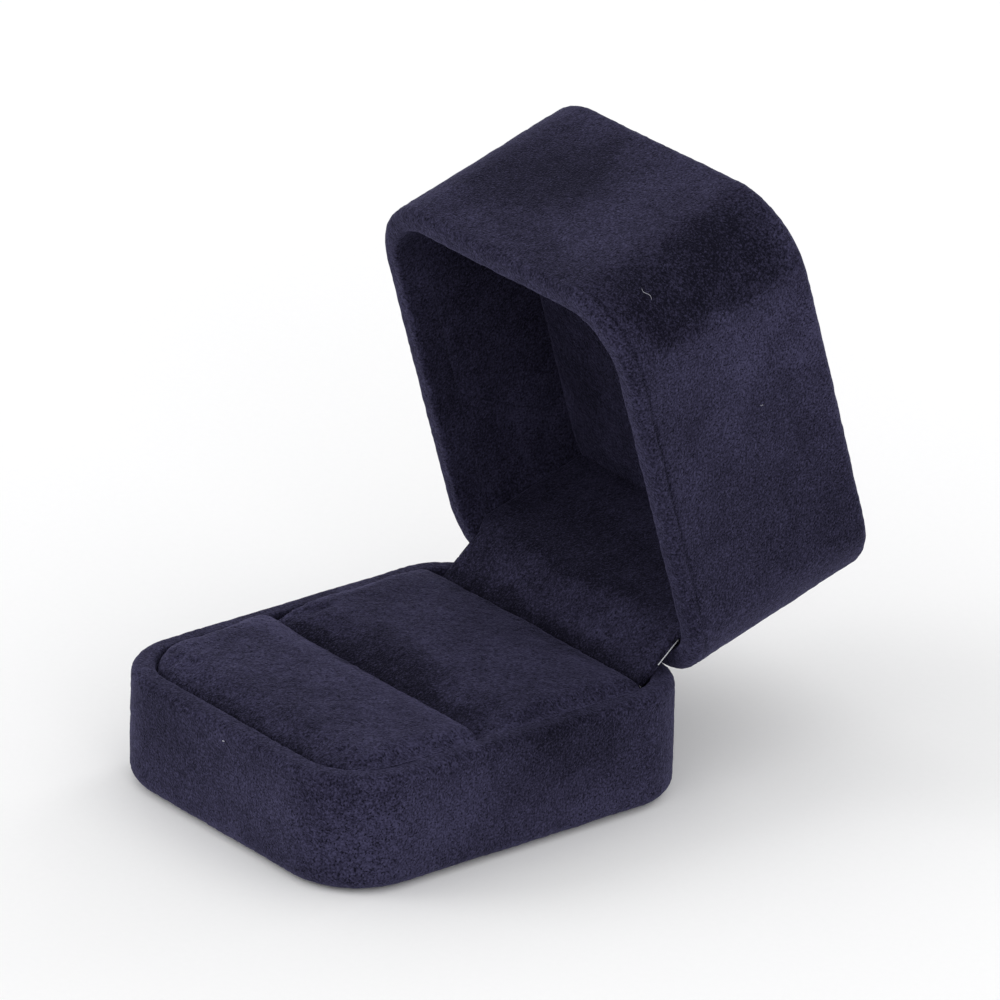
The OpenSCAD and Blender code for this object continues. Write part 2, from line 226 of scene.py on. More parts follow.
def rounded_plan(low, high, front_r, rear_r, step):
    """A rounded rectangle walked anticlockwise from the middle of its rear side. Each point is
    centre + radius * facing, and between the knots the centre, the radius and the facing angle
    run straight, which makes the sides straight and the corners round."""
    (x0, y0), (x1, y1) = low, high
    middle = (x0 + x1) / 2
    knots = np.array([
        (middle, y1 - rear_r, rear_r, 90), (x0 + rear_r, y1 - rear_r, rear_r, 90),
        (x0 + rear_r, y1 - rear_r, rear_r, 180), (x0 + front_r, y0 + front_r, front_r, 180),
        (x0 + front_r, y0 + front_r, front_r, 270), (x1 - front_r, y0 + front_r, front_r, 270),
        (x1 - front_r, y0 + front_r, front_r, 360), (x1 - rear_r, y1 - rear_r, rear_r, 360),
        (x1 - rear_r, y1 - rear_r, rear_r, 450), (middle, y1 - rear_r, rear_r, 450)])
    angle = np.radians(knots[:, 3])
    corner = knots[:, :2] + knots[:, 2:3] * np.stack([np.cos(angle), np.sin(angle)], 1)
    straight = np.linalg.norm(np.diff(corner, axis=0), axis=1)
    arc = knots[1:, 2] * np.diff(angle)
    along = np.concatenate([[0], np.cumsum(np.where(np.diff(angle) > 0, arc, straight))])
    at = np.arange(ceil(along[-1] / step)) / ceil(along[-1] / step) * along[-1]
    centre = np.stack([np.interp(at, along, knots[:, k]) for k in (0, 1)], 1)
    radius, facing = (np.interp(at, along, values) for values in (knots[:, 2], angle))
    return centre, radius, np.stack([np.cos(facing), np.sin(facing)], 1)


def rounded_line(corners, step):
    """A line through (inset, depth, radius) corners. A corner's arc is its centre, one radius
    along both sides, less radius * cos(a) along one and radius * sin(a) along the other."""
    corners = np.array(corners, float)
    parts = []
    for k, (at, radius) in enumerate(zip(corners[:, :2], corners[:, 2])):
        if k in (0, len(corners) - 1) or radius == 0:
            parts.append(at[None])
            continue
        back, ahead = corners[k - 1, :2] - at, corners[k + 1, :2] - at
        back, ahead = back / np.linalg.norm(back), ahead / np.linalg.norm(ahead)
        a = np.linspace(0, pi / 2, max(3, ceil(radius * pi / 2 / step) + 1))[:, None]
        parts.append(at + radius * (back + ahead - ahead * np.cos(a) - back * np.sin(a)))
    filled = [parts[0]]
    for before, part in zip(parts, parts[1:]):
        start, end = before[-1], part[0]
        count = max(1, ceil(np.linalg.norm(end - start) / step))
        filled += [start + (end - start) * np.linspace(0, 1, count + 1)[1:, None], part[1:]]
    return np.concatenate(filled)


def carried(plan, inset, height, share_out=1.0):
    """A section carried round a plan: share_out * (centre + (radius - inset) * facing), at its
    height. Inset, height and share_out may change along the section and round the plan."""
    centre, radius, facing = plan
    inset, height, share_out = np.broadcast_arrays(inset, height, share_out)
    reach = radius[:, None] - inset
    x = share_out * (centre[:, None, 0] + reach * facing[:, None, 0])
    y = share_out * (centre[:, None, 1] + reach * facing[:, None, 1])
    return np.stack([x, y, np.broadcast_to(height, x.shape)], -1)


def drawn_in(line, tip, near, far):
    """A section's line of (inset, height), drawn in to the middle at both ends: each end point
    repeats while its share of the plan's reach runs evenly between the tip and 1, in near and
    far steps. Gives what carried takes: the insets, the heights and the shares."""
    rings = [np.linspace(tip, 1, steps)[:-1] for steps in (near, far)]
    path = np.concatenate([np.repeat([line[0]], len(rings[0]), 0), line,
                           np.repeat([line[-1]], len(rings[1]), 0)])
    shares = np.concatenate([rings[0], np.ones(len(line)), rings[1][::-1]])
    return path[:, 0][None], path[:, 1][None], shares[None]


def grid_normals(grid, loop):
    """Across each grid point: the cross product of its two neighbours' directions."""
    across = np.roll(grid, -1, 0) - np.roll(grid, 1, 0)
    down = np.roll(grid, -1, 1) - np.roll(grid, 1, 1) if loop else np.gradient(grid, axis=1)
    normal = np.cross(across, down)
    return normal / np.maximum(np.linalg.norm(normal, axis=-1, keepdims=True), 1e-12)


def ring_faces(rows, columns, loop):
    """Four-sided faces of a grid that closes on itself in rows, and in columns if it loops."""
    i = np.arange(rows)[:, None]
    j = np.arange(columns if loop else columns - 1)[None, :]
    at = [(i, j), (i + 1, j), (i + 1, j + 1), (i, j + 1)]
    faces = [(a % rows) * columns + b % columns for a, b in at]
    return np.stack([np.broadcast_to(f, (rows, j.size)) for f in faces], -1).reshape(-1, 4)


def new_mesh(name, points, quads, triangles=()):
    """A smooth-shaded object of these faces, turned round if its volume comes out negative."""
    points = np.asarray(points, float).reshape(-1, 3)
    quads = np.asarray(quads, int).reshape(-1, 4)
    triangles = np.asarray(triangles, int).reshape(-1, 3)
    split = np.concatenate([quads[:, :3], quads[:, [0, 2, 3]], triangles])
    a, b, c = (points[split[:, k]] for k in range(3))
    if np.einsum("ij,ij->", a, np.cross(b, c)) < 0:
        quads, triangles = quads[:, ::-1], triangles[:, ::-1]
    corners = np.concatenate([quads.ravel(), triangles.ravel()])
    starts = np.concatenate([np.arange(len(quads)) * 4,
                             len(quads) * 4 + np.arange(len(triangles)) * 3])
    mesh = bpy.data.meshes.new(name)
    mesh.vertices.add(len(points))
    mesh.vertices.foreach_set("co", points.astype(np.float32).ravel())
    mesh.loops.add(len(corners))
    mesh.loops.foreach_set("vertex_index", corners.astype(np.int32))
    mesh.polygons.add(len(starts))
    mesh.polygons.foreach_set("loop_start", starts.astype(np.int32))
    mesh.update(calc_edges=True)
    mesh.validate()
    mesh.polygons.foreach_set("use_smooth", np.ones(len(mesh.polygons), bool))
    made = bpy.data.objects.new(name, mesh)
    bpy.context.scene.collection.objects.link(made)
    return made


def looped(name, grid):
    """A closed ring of cloth or card: its section loops, and so does its plan."""
    return new_mesh(name, grid, ring_faces(*grid.shape[:2], loop=True))


def capped(name, grid):
    """A closed form whose section runs from one pole to the other; each end is drawn to a
    point in the middle of its last ring."""
    rows, columns = grid.shape[:2]
    poles = grid[:, [0, -1]].mean(0)
    i, after = np.arange(rows), (np.arange(rows) + 1) % rows
    first, last = rows * columns, rows * columns + 1
    fans = np.concatenate([
        np.stack([after * columns, i * columns, np.full(rows, first)], 1),
        np.stack([i * columns + columns - 1, after * columns + columns - 1,
                  np.full(rows, last)], 1)])
    return new_mesh(name, np.concatenate([grid.reshape(-1, 3), poles]),
                    ring_faces(rows, columns, loop=False), fans)


def sheet_form(name, face, back):
    """A sheet with thickness: two open grids, face and back, joined round their borders."""
    rows, columns = face.shape[:2]
    index = np.arange(rows * columns).reshape(rows, columns)
    quads = np.stack([index[:-1, :-1], index[1:, :-1], index[1:, 1:], index[:-1, 1:]],
                     -1).reshape(-1, 4)
    border = np.concatenate([index[0, :-1], index[:-1, -1], index[-1, :0:-1], index[:0:-1, 0]])
    after = np.roll(border, -1)
    other = rows * columns
    rim = np.stack([border, after, after + other, border + other], -1)
    return new_mesh(name, np.concatenate([face.reshape(-1, 3), back.reshape(-1, 3)]),
                    np.concatenate([quads, quads[:, ::-1] + other, rim]))


def tube(name, line, radius, sides=8):
    """A round fibre: circles of that radius across a line, with both ends drawn to a point."""
    ahead = np.gradient(line, axis=0)
    ahead /= np.linalg.norm(ahead, axis=1, keepdims=True)
    side = np.cross(ahead, (0.3, 0.5, 0.8))
    side /= np.linalg.norm(side, axis=1, keepdims=True)
    other = np.cross(ahead, side)
    turn = np.arange(sides)[:, None, None] / sides * 2 * pi
    thin = radius * np.sqrt(np.sin(np.linspace(0.15, pi - 0.15, len(line))))[None, :, None]
    return capped(name, line[None] + thin * (np.cos(turn) * side + np.sin(turn) * other))


def store_pile_and_shade(made, values):
    """Stores on every vertex how the pile lies, with painted shade and painted highlight mixed in:
    0 where the pile leans away or the painted shade is deepest, 1 where it is swept towards or a
    highlight is painted.
    """
    attribute = made.data.attributes.new("nap", "FLOAT", "POINT")
    attribute.data.foreach_set("value", np.clip(values, 0, 1).astype(np.float32).ravel())


def points_of(made):
    """A mesh's points as an array."""
    points = np.empty(len(made.data.vertices) * 3, np.float32)
    made.data.vertices.foreach_get("co", points)
    return points.reshape(-1, 3).astype(float)


def move_to(made, points):
    """Gives a mesh new points."""
    made.data.vertices.foreach_set("co", points.astype(np.float32).ravel())


NAP_WANDER, NAP_FRAY = 1.5, 0.5     # millimetres that the patches' edges wander and fray
NAP_CLOUDS, NAP_SPOTS = 0.10, 0.05  # unevenness of the lean itself, wide and small


def patched_pile_and_shade(points, patches, level=0.5, seed=5):
    """How the pile lies, plus painted shade and painted highlight: a level, plus each patch's
    strength times exp(-d^4), where d is the distance from its centre over its reach along x, y and
    z. The points are first moved by lattice noise, so that the patches get uneven edges. Patches
    are in millimetres."""
    wander = np.stack([lattice_noise(points, 0.005, seed + k) for k in range(3)], -1)
    fine = np.stack([lattice_noise(points, 0.0016, seed + 7 + k) for k in range(3)], -1)
    moved = points / MM + NAP_WANDER * wander + NAP_FRAY * fine
    nap = level + NAP_CLOUDS * lattice_noise(points, 0.011, seed + 3)
    nap += NAP_SPOTS * lattice_noise(points, 0.0035, seed + 4)
    for x, y, z, reach_x, reach_y, reach_z, strength in patches:
        away = (moved - (x, y, z)) / (reach_x, reach_y, reach_z)
        nap += strength * np.exp(-np.sum(away ** 2, -1) ** 2)
    return nap


# ---- Finishes ----------------------------------------------------------------------------

class Nodes:
    """Short calls for one node tree."""

    def __init__(self, tree):
        self.tree = tree

    def add(self, kind, at=(0, 0), **values):
        node = self.tree.nodes.new(kind)
        node.location = at
        for name, value in values.items():
            setattr(node, name, value)
        return node

    def link(self, out, into):
        self.tree.links.new(out, into)

    def give(self, value, socket):
        """Links an output to the socket, or sets a plain value on it."""
        if isinstance(value, bpy.types.NodeSocket):
            self.link(value, socket)
        elif value is not None:
            socket.default_value = value

    def set(self, node, **values):
        for name, value in values.items():
            self.give(value, node.inputs[name.replace("_", " ")])
        return node

    def noise(self, vector, scale, detail=3.0, rough=0.55, distortion=0.0, at=(0, 0)):
        node = self.add("ShaderNodeTexNoise", at)
        self.set(node, Vector=vector, Scale=scale, Detail=detail, Roughness=rough,
                 Distortion=distortion)
        return node.outputs["Fac"]

    def math(self, operation, a, b=None, c=None):
        node = self.add("ShaderNodeMath", operation=operation)
        for socket, value in zip(node.inputs, (a, b, c)):
            self.give(value, socket)
        return node.outputs[0]

    def remap(self, value, low, high, to_low=0.0, to_high=1.0):
        node = self.add("ShaderNodeMapRange", interpolation_type="LINEAR")
        for socket, entry in zip(node.inputs, (value, low, high, to_low, to_high)):
            self.give(entry, socket)
        return node.outputs[0]

    def mix(self, factor, a, b):
        node = self.add("ShaderNodeMix", data_type="RGBA")
        for name, value in (("Factor_Float", factor), ("A_Color", a), ("B_Color", b)):
            self.give(value, next(s for s in node.inputs if s.identifier == name))
        return next(s for s in node.outputs if s.identifier == "Result_Color")


def group(name, inputs, outputs):
    """A new shader node group with named sockets: (name, kind, default) in, (name, kind) out."""
    tree = bpy.data.node_groups.new(name, "ShaderNodeTree")
    for socket, kind, default in inputs:
        made = tree.interface.new_socket(socket, in_out="INPUT", socket_type="NodeSocket" + kind)
        if default is not None:
            made.default_value = default
    for socket, kind in outputs:
        tree.interface.new_socket(socket, in_out="OUTPUT", socket_type="NodeSocket" + kind)
    n = Nodes(tree)
    return n, n.add("NodeGroupInput", (-1400, 0)).outputs, n.add("NodeGroupOutput", (900, 0))


def rgba(values):
    """A colour with full alpha."""
    return (*values, 1.0)


def pile_group():
    """Velvet pile: the stored value, how the pile lies with painted shade and painted highlight
    mixed in, picks between three colours;
    clumps, mottles and single bright tips break it up; the same clumps stand up as height."""
    n, given, out = group(
        "Velvet pile",
        [("Vector", "Vector", None), ("Nap", "Float", 0.5), ("Deep", "Color", rgba((0,) * 3)),
         ("Pile", "Color", rgba((0.5,) * 3)), ("Bright", "Color", rgba((1,) * 3)),
         ("Clump Scale", "Float", 2400.0), ("Mottle", "Float", 0.2), ("Tips", "Float", 0.5)],
        [("Colour", "Color"), ("Roughness", "Float"), ("Height", "Float")])
    at = given["Vector"]
    clump = n.noise(at, given["Clump Scale"], 2.0, 0.6, at=(-1100, 300))
    tuft = n.noise(at, 1000.0, 3.0, 0.6, at=(-1100, 100))
    mottle = n.noise(at, 210.0, 4.0, 0.62, 0.6, at=(-1100, -100))
    wide = n.noise(at, 62.0, 3.0, 0.5, 0.4, at=(-1100, -300))
    uneven = n.math("MULTIPLY", n.math("SUBTRACT", mottle, 0.5), given["Mottle"])
    uneven = n.math("ADD", uneven, n.math("MULTIPLY", n.math("SUBTRACT", wide, 0.5), 0.35))
    uneven = n.math("ADD", uneven, n.math("MULTIPLY", n.math("SUBTRACT", tuft, 0.5), 0.65))
    uneven = n.math("ADD", uneven, n.math("MULTIPLY", n.math("SUBTRACT", clump, 0.5), 2.0))
    lean_and_shade = n.math("ADD", given["Nap"], uneven)
    colour_out = n.mix(n.remap(lean_and_shade, 0.0, 0.5), given["Deep"], given["Pile"])
    colour_out = n.mix(n.remap(lean_and_shade, 0.5, 1.0), colour_out, given["Bright"])
    # Pits: low spots in the pile, painted darker as well as set lower; the darker colour is painted
    # shade.
    pits = n.remap(n.noise(at, 2700.0, 1.0, 0.5, at=(-1100, -700)), 0.44, 0.33)
    colour_out = n.mix(n.math("MULTIPLY", pits, 0.9), colour_out, given["Deep"])
    tips = n.remap(n.noise(at, 3000.0, 1.0, 0.5, at=(-1100, -500)), 0.60, 0.70)
    tips = n.math("MULTIPLY", tips, given["Tips"])
    colour_out = n.mix(tips, colour_out, given["Bright"])
    n.link(colour_out, out.inputs["Colour"])
    n.link(n.remap(lean_and_shade, 0.0, 1.0, 1.0, 0.82), out.inputs["Roughness"])
    height = n.math("ADD", n.math("MULTIPLY", clump, 0.7), n.math("MULTIPLY", tuft, 0.6))
    height = n.math("ADD", height, n.math("MULTIPLY", pits, -0.35))
    n.link(height, out.inputs["Height"])
    return n.tree


def fleck_group():
    """Matted fibres: stretched noise in two directions gives short strands, and a wide noise
    changes the shade from place to place."""
    n, given, out = group(
        "Matted fibres",
        [("Vector", "Vector", None), ("Scale", "Float", 900.0), ("Dark", "Color", rgba((0,) * 3)),
         ("Light", "Color", rgba((1,) * 3)), ("Flecks", "Float", 0.4)],
        [("Colour", "Color"), ("Height", "Float")])
    strands = None
    for turn, offset in ((0.5, 0.0), (2.1, 3.0)):
        place = n.add("ShaderNodeMapping", (-1100, 200 * turn))
        n.set(place, Vector=given["Vector"], Rotation=(0.4, 0.3, turn), Scale=(1.0, 0.16, 1.0),
              Location=(offset, 0.0, offset))
        strand = n.noise(place.outputs[0], given["Scale"], 3.0, 0.6, 1.2)
        strands = strand if strands is None else n.math("MAXIMUM", strands, strand)
    shade = n.noise(given["Vector"], 140.0, 4.0, 0.6, 0.5)
    fleck = n.remap(n.noise(given["Vector"], 1300.0, 1.0, 0.5), 0.62, 0.74)
    mixed = n.math("ADD", n.math("MULTIPLY", strands, 0.7), n.math("MULTIPLY", shade, 0.4))
    colour_out = n.mix(n.remap(mixed, 0.35, 0.85), given["Dark"], given["Light"])
    colour_out = n.mix(n.math("MULTIPLY", fleck, given["Flecks"]), colour_out, given["Dark"])
    n.link(colour_out, out.inputs["Colour"])
    n.link(strands, out.inputs["Height"])
    return n.tree


def surface(name, **constants):
    """A material with one Principled BSDF. Constants go straight onto its sockets."""
    material = bpy.data.materials.new(name)
    material.use_nodes = True
    n = Nodes(material.node_tree)
    shader = material.node_tree.nodes["Principled BSDF"]
    for socket, value in constants.items():
        shader.inputs[socket.replace("_", " ")].default_value = value
    place = n.add("ShaderNodeTexCoord", (-1500, 0)).outputs["Object"]
    return material, n, shader, place


def bump(n, shader, height, distance):
    """Feeds the shader's normal from a height."""
    node = n.set(n.add("ShaderNodeBump", (-250, -300)), Height=height, Distance=distance,
                 Strength=1.0)
    n.link(node.outputs["Normal"], shader.inputs["Normal"])


def velvet_material(name, colours, pile, mottle=0.6, tips=0.4, clump=2800.0, depth=0.00018):
    """Velvet: the pile group over the stored pile tilt and painted shade, with a fixed sheen."""
    material, n, shader, place = surface(
        name, Sheen_Weight=0.17, Sheen_Roughness=0.42, Sheen_Tint=rgba((0.42, 0.40, 0.76)),
        Specular_IOR_Level=0.06)
    nap = n.add("ShaderNodeAttribute", (-1500, -300), attribute_name="nap").outputs["Fac"]
    node = n.add("ShaderNodeGroup", (-700, 0), node_tree=pile)
    deep, middle, bright = (
        rgba(c) for c in (colours.velvet_deep, colours.velvet, colours.velvet_bright))
    n.set(node, Vector=place, Nap=nap, Deep=deep, Pile=middle, Bright=bright,
          Clump_Scale=clump, Mottle=mottle, Tips=tips)
    n.link(node.outputs["Colour"], shader.inputs["Base Color"])
    n.link(node.outputs["Roughness"], shader.inputs["Roughness"])
    bump(n, shader, node.outputs["Height"], depth)
    return material


def fibre_material(name, fibres, tone, scale, contrast, depth, flecks, rough, **constants):
    """Felt, board or card: the fibre group between a darker and a lighter shade of one tone."""
    material, n, shader, place = surface(name, Roughness=rough, **constants)
    node = n.add("ShaderNodeGroup", (-700, 0), node_tree=fibres)
    dark, light = (rgba([min(1.0, v * k) for v in tone]) for k in (1 - contrast, 1 + contrast))
    n.set(node, Vector=place, Scale=scale, Dark=dark, Light=light, Flecks=flecks)
    n.link(node.outputs["Colour"], shader.inputs["Base Color"])
    bump(n, shader, node.outputs["Height"], depth)
    return material


def steel_material(name, tone, stretch):
    """Pressed steel: fine lines along the sheet, cloudy plating and a few small marks."""
    material, n, shader, place = surface(name, Metallic=1.0, Specular_IOR_Level=0.5)
    lines = n.add("ShaderNodeMapping", (-1200, 0))
    n.set(lines, Vector=place, Scale=stretch)
    brushed_lines = n.noise(lines.outputs[0], 900.0, 4.0, 0.6)
    cloud = n.noise(place, 260.0, 3.0, 0.6, 0.5)
    marks = n.remap(n.noise(place, 1500.0, 2.0, 0.6), 0.66, 0.78)
    tone_dark = rgba([v * 0.72 for v in tone])
    base = n.mix(n.remap(cloud, 0.3, 0.7), tone_dark, rgba(tone))
    n.link(n.mix(marks, base, tone_dark), shader.inputs["Base Color"])
    rough = n.math("MULTIPLY_ADD", brushed_lines, 0.22, 0.2)
    n.link(n.math("MULTIPLY_ADD", marks, 0.2, rough), shader.inputs["Roughness"])
    bump(n, shader, brushed_lines, 0.00001)
    return material


def shell_material(tone):
    """Moulded plastic: a fine spark-eroded grain with cloudy, slightly glossier flow marks."""
    material, n, shader, place = surface("Moulded shell", Specular_IOR_Level=0.45)
    grain = n.noise(place, 2600.0, 3.0, 0.6)
    flow = n.noise(place, 85.0, 3.0, 0.5, 1.5)
    n.link(n.mix(n.remap(flow, 0.3, 0.7), rgba([v * 0.8 for v in tone]),
                 rgba([v * 1.25 for v in tone])), shader.inputs["Base Color"])
    n.link(n.remap(flow, 0.2, 0.8, 0.44, 0.6), shader.inputs["Roughness"])
    bump(n, shader, grain, 0.00002)
    return material


def foam_material(tone):
    """Open foam: rounded cells with pores between them; the pores are coloured darker as painted
    shade in the hollows.
    """
    material, n, shader, place = surface("Foam", Roughness=0.95)
    cells = n.set(n.add("ShaderNodeTexVoronoi", (-1000, 0)), Vector=place, Scale=1700.0)
    pores = n.remap(cells.outputs["Distance"], 0.05, 0.6)
    shade = n.noise(place, 240.0, 3.0, 0.6)
    body = n.mix(n.remap(shade, 0.3, 0.7), rgba([v * 0.9 for v in tone]), rgba(tone))
    n.link(n.mix(pores, rgba([v * 0.55 for v in tone]), body), shader.inputs["Base Color"])
    bump(n, shader, pores, 0.00015)
    return material


def finish_table(colours):
    """Every finish, made once."""
    if "Velvet" in bpy.data.materials:
        return bpy.data.materials
    pile, fibres = pile_group(), fleck_group()
    velvet_material("Velvet", colours, pile)
    velvet_material("Pad velvet", colours, pile, mottle=0.65, tips=0.5, clump=2500.0,
                    depth=0.00024)
    velvet_material("Lining velvet", colours, pile, mottle=0.8, tips=0.45)
    fibre_material("Felt", fibres, colours.felt, 1500.0, 0.45, 0.00012, 0.3, 0.97,
                   Sheen_Weight=0.06, Sheen_Roughness=0.5)
    fibre_material("Grey board", fibres, colours.board, 1100.0, 0.18, 0.00004, 0.55, 0.9)
    fibre_material("Pale card", fibres, colours.card, 1600.0, 0.1, 0.00003, 0.25, 0.85)
    fibre_material("Lint", fibres, colours.lint, 2500.0, 0.2, 0.00001, 0.1, 0.8)
    steel_material("Plated steel", colours.steel, (0.08, 1.0, 1.0))
    steel_material("Spring steel", [v * 0.9 for v in colours.steel], (1.0, 0.12, 0.12))
    shell_material(colours.shell)
    foam_material(colours.foam)
    return bpy.data.materials


def dress(made, finish, body=None, replaces=()):
    """Gives a finished piece its material, stand-in duty and body."""
    made.data.materials.clear()
    made.data.materials.append(finish_table(bpy.context.scene.ring_box_colours)[finish])
    if replaces:
        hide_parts(*replaces)
    if body:
        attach(made, body)
    return made


# ---- Pieces ------------------------------------------------------------------------------

def box_plan(size, coarser=1.0):
    """The box's outline, walked in steps of the cell."""
    return rounded_plan(BASE_LOW[:2], BASE_HIGH[:2], size.front_radius, size.rear_radius,
                        size.cell * coarser)


def hinge_limit(points, depth, size, inner):
    """How far in the covering may reach at the hinge: only a thin wall stays outside the
    knuckles and the leaves, and nothing limits it elsewhere."""
    at_hinge = (np.abs(points[..., 0]) < size.bay_half) & (points[..., 1] > 0)
    limit = np.full(points.shape[:-1], 1.0)
    limit = np.where(at_hinge & (depth < size.leaf_reach), size.leaf_skin, limit)
    limit = np.where(at_hinge & (depth < size.bay_reach), size.bay_skin, limit)
    return limit - np.where(inner, size.cloth / 2, 0)


def covering(name, size, rim_z, side, tall, foot, closed_top, crease_at, seed):
    """A tray's covering. Its section runs over the outside, then back along the shell inside
    it; depth is counted from the rim into the body, and side is -1 below the rim and 1 above.
    The base's section is a loop, and the lid's runs from the top's middle outside to the top's
    middle inside. Lattice noise across the surface makes the ripple and the pile."""
    plan = box_plan(size)
    t, rim = size.cloth, size.rim_width
    reach = size.rear_radius - 2 * t if closed_top else size.turn_under
    outer = rounded_line([
        (rim, size.turn_in, 0), (rim, 0, size.rim_inner_round), (0, 0, size.rim_round),
        (0, tall, foot), (reach, tall, 0)], size.cell)
    inner = rounded_line([
        (reach, tall - t, 0), (t, tall - t, foot - t), (t, t, size.rim_round - t),
        (rim - t, t, 0), (rim - t, size.turn_in, 0)], 8 * size.cell)
    shares = [np.ones(len(outer)), np.ones(len(inner))]
    if closed_top:
        plate = np.linspace(1, 0.012, 34)[1:]
        coarse = np.array([0.012, 0.5])
        outer = np.concatenate([outer, np.repeat([[reach, tall]], len(plate), 0)])
        inner = np.concatenate([np.repeat([[reach, tall - t]], len(coarse), 0), inner])
        shares = [np.concatenate([shares[0], plate]), np.concatenate([coarse, shares[1]])]
        path = np.concatenate([outer[::-1], inner[::-1]])
        share_out = np.concatenate([shares[0][::-1], shares[1][::-1]])
    else:
        path = np.concatenate([outer, inner])
        share_out = np.concatenate(shares)
    is_inner = np.zeros(len(path), bool)
    is_inner[len(outer):] = True
    inset, depth = path[:, 0][None], path[:, 1][None]
    first = carried(plan, inset, rim_z + side * depth, share_out[None])
    inset = np.minimum(inset, hinge_limit(first, depth, size, is_inner[None]))
    grid = carried(plan, inset, rim_z + side * depth, share_out[None])

    outside = ~is_inner[None] & (inset < t / 2)
    line = np.exp(-((depth - size.crease_below) / (0.5 * size.cell)) ** 2) * outside
    crease_strength = np.clip(crease_at(grid) + 0.5 * lattice_noise(grid, 0.006, seed + 9), 0, 1.3)
    inward = np.concatenate([plan[2], np.zeros((len(plan[2]), 1))], 1)[:, None]
    grid = grid - inward * (size.crease_depth * line * crease_strength)[..., None]

    height = (size.ripple * lattice_noise(grid, 0.009, seed)
              + 0.5 * size.ripple * lattice_noise(grid, 0.004, seed + 1)
              + size.pile * lattice_noise(grid, 0.0008, seed + 2))
    near_shell = is_inner[None] | (share_out[None] < 0.05)
    free = np.where(near_shell, 0.0, 1.0) * np.where(hinge_limit(first, depth, size, False) < 1,
                                                     0.2, 1.0)
    free = free * np.where(inset > rim - 0.1 * MM, 1 - smooth(depth, 2.5 * MM, size.turn_in), 1)
    grid = grid + grid_normals(grid, not closed_top) * (height * free)[..., None]
    inside = ~is_inner[None] & (inset > rim - 0.1 * MM) & (depth < 1.1 * size.turn_in)
    # Painted shade: the pile's colour is darkened along the crease line and just inside the rim,
    # where the covering turns down.
    lean_and_shade = -0.3 * line * crease_strength - 0.12 * inside * smooth(depth, 0, 1.5 * MM)
    lean_and_shade = np.broadcast_to(lean_and_shade, grid.shape[:2]).ravel()
    if closed_top:
        return capped(name, grid), np.append(lean_and_shade, (0, 0))
    return looped(name, grid), lean_and_shade


# Patches of pile lying differently, and on the pads and linings also patches of painted shade and
# painted highlight: centre x, y, z and reach x, y, z in millimetres of the shut box, strength
BASE_NAP = (
    (-15, -34, 14, 6, 6, 8, -0.18), (24, -29, 6, 8, 8, 8, 0.08), (30, -22, 9, 6, 13, 10, 0.16),
    (30, 9, 15, 6, 11, 4.5, -0.26), (28, 5, 18.5, 4, 10, 2.5, -0.22), (30, 2, 11, 6, 8, 5, -0.10),
    (30, 16, 4, 6, 9, 3, 0.1), (-30, 4, 10, 6, 9, 7, -0.25), (6, 34, 9, 14, 6, 6, -0.2),
    (-30, -18, 8, 6, 8, 7, 0.16))
LID_NAP = (
    (-11, -34, 38, 12, 8, 11, -0.36), (-7, -34, 41, 6, 8, 7, -0.26),
    (-14, -34, 31, 7, 8, 6, -0.14),
    (-14, -34, 50, 12, 6, 5, -0.10),
    (10, -34, 24, 13, 6, 5, -0.18), (-10, -34, 30, 14, 8, 12, -0.10), (26, -32, 26, 7, 6, 5, -0.12),
    (8, -34, 36, 6, 8, 13, 0.06),
    (30, -16, 41, 8, 9, 15, 0.16), (30, -19, 26, 8, 6, 7, 0.10),
    (30, 14, 36, 8, 14, 18, -0.13), (30, 22, 50, 8, 8, 6, -0.10),
    (4, -6, 54, 13, 10, 6, -0.28), (-30, 6, 38, 8, 14, 10, -0.28), (-30, -16, 30, 8, 8, 9, 0.2),
    (-9, 34, 40, 12, 8, 9, -0.26), (14, 34, 32, 8, 8, 10, 0.15))
# On the pads, the dark patches along the slot between the pads (the front pad's shadow on the rear
# pad), along the rear pad's back edge and along the front pad's front edge are painted shade; the
# light patches at the pads' left ends are painted highlight.
PAD_NAP_SHADE_AND_HIGHLIGHT = (
    (-2, -3.3, 19, 21, 2.7, 6, -0.80), (-1, 0.8, 19, 14, 4.6, 6, -0.44),
    (-17, -3.4, 19, 9, 2.4, 6, -0.30), (-15, -8, 20, 11, 3, 5, 0.22),
    (9, -7.0, 20, 20, 1.4, 4, 0.14), (-25, -8, 20, 4.5, 6, 5, 0.42),
    (-26, 11, 20, 2.8, 14, 5, 0.55), (-26, -20, 20, 3, 9, 5, 0.20), (26, -8, 19, 5, 12, 5, 0.14),
    (2, 19, 20, 16, 3.6, 5, -0.22), (-1, 24.6, 19, 27, 2.6, 6, -0.62),
    (0, -31, 19, 22, 3.4, 6, -0.40), (21, 10, 19, 6, 13, 5, -0.16),
    (5, -21, 20, 10, 6, 5, -0.10), (24, 16, 19, 5, 6, 5, 0.10))
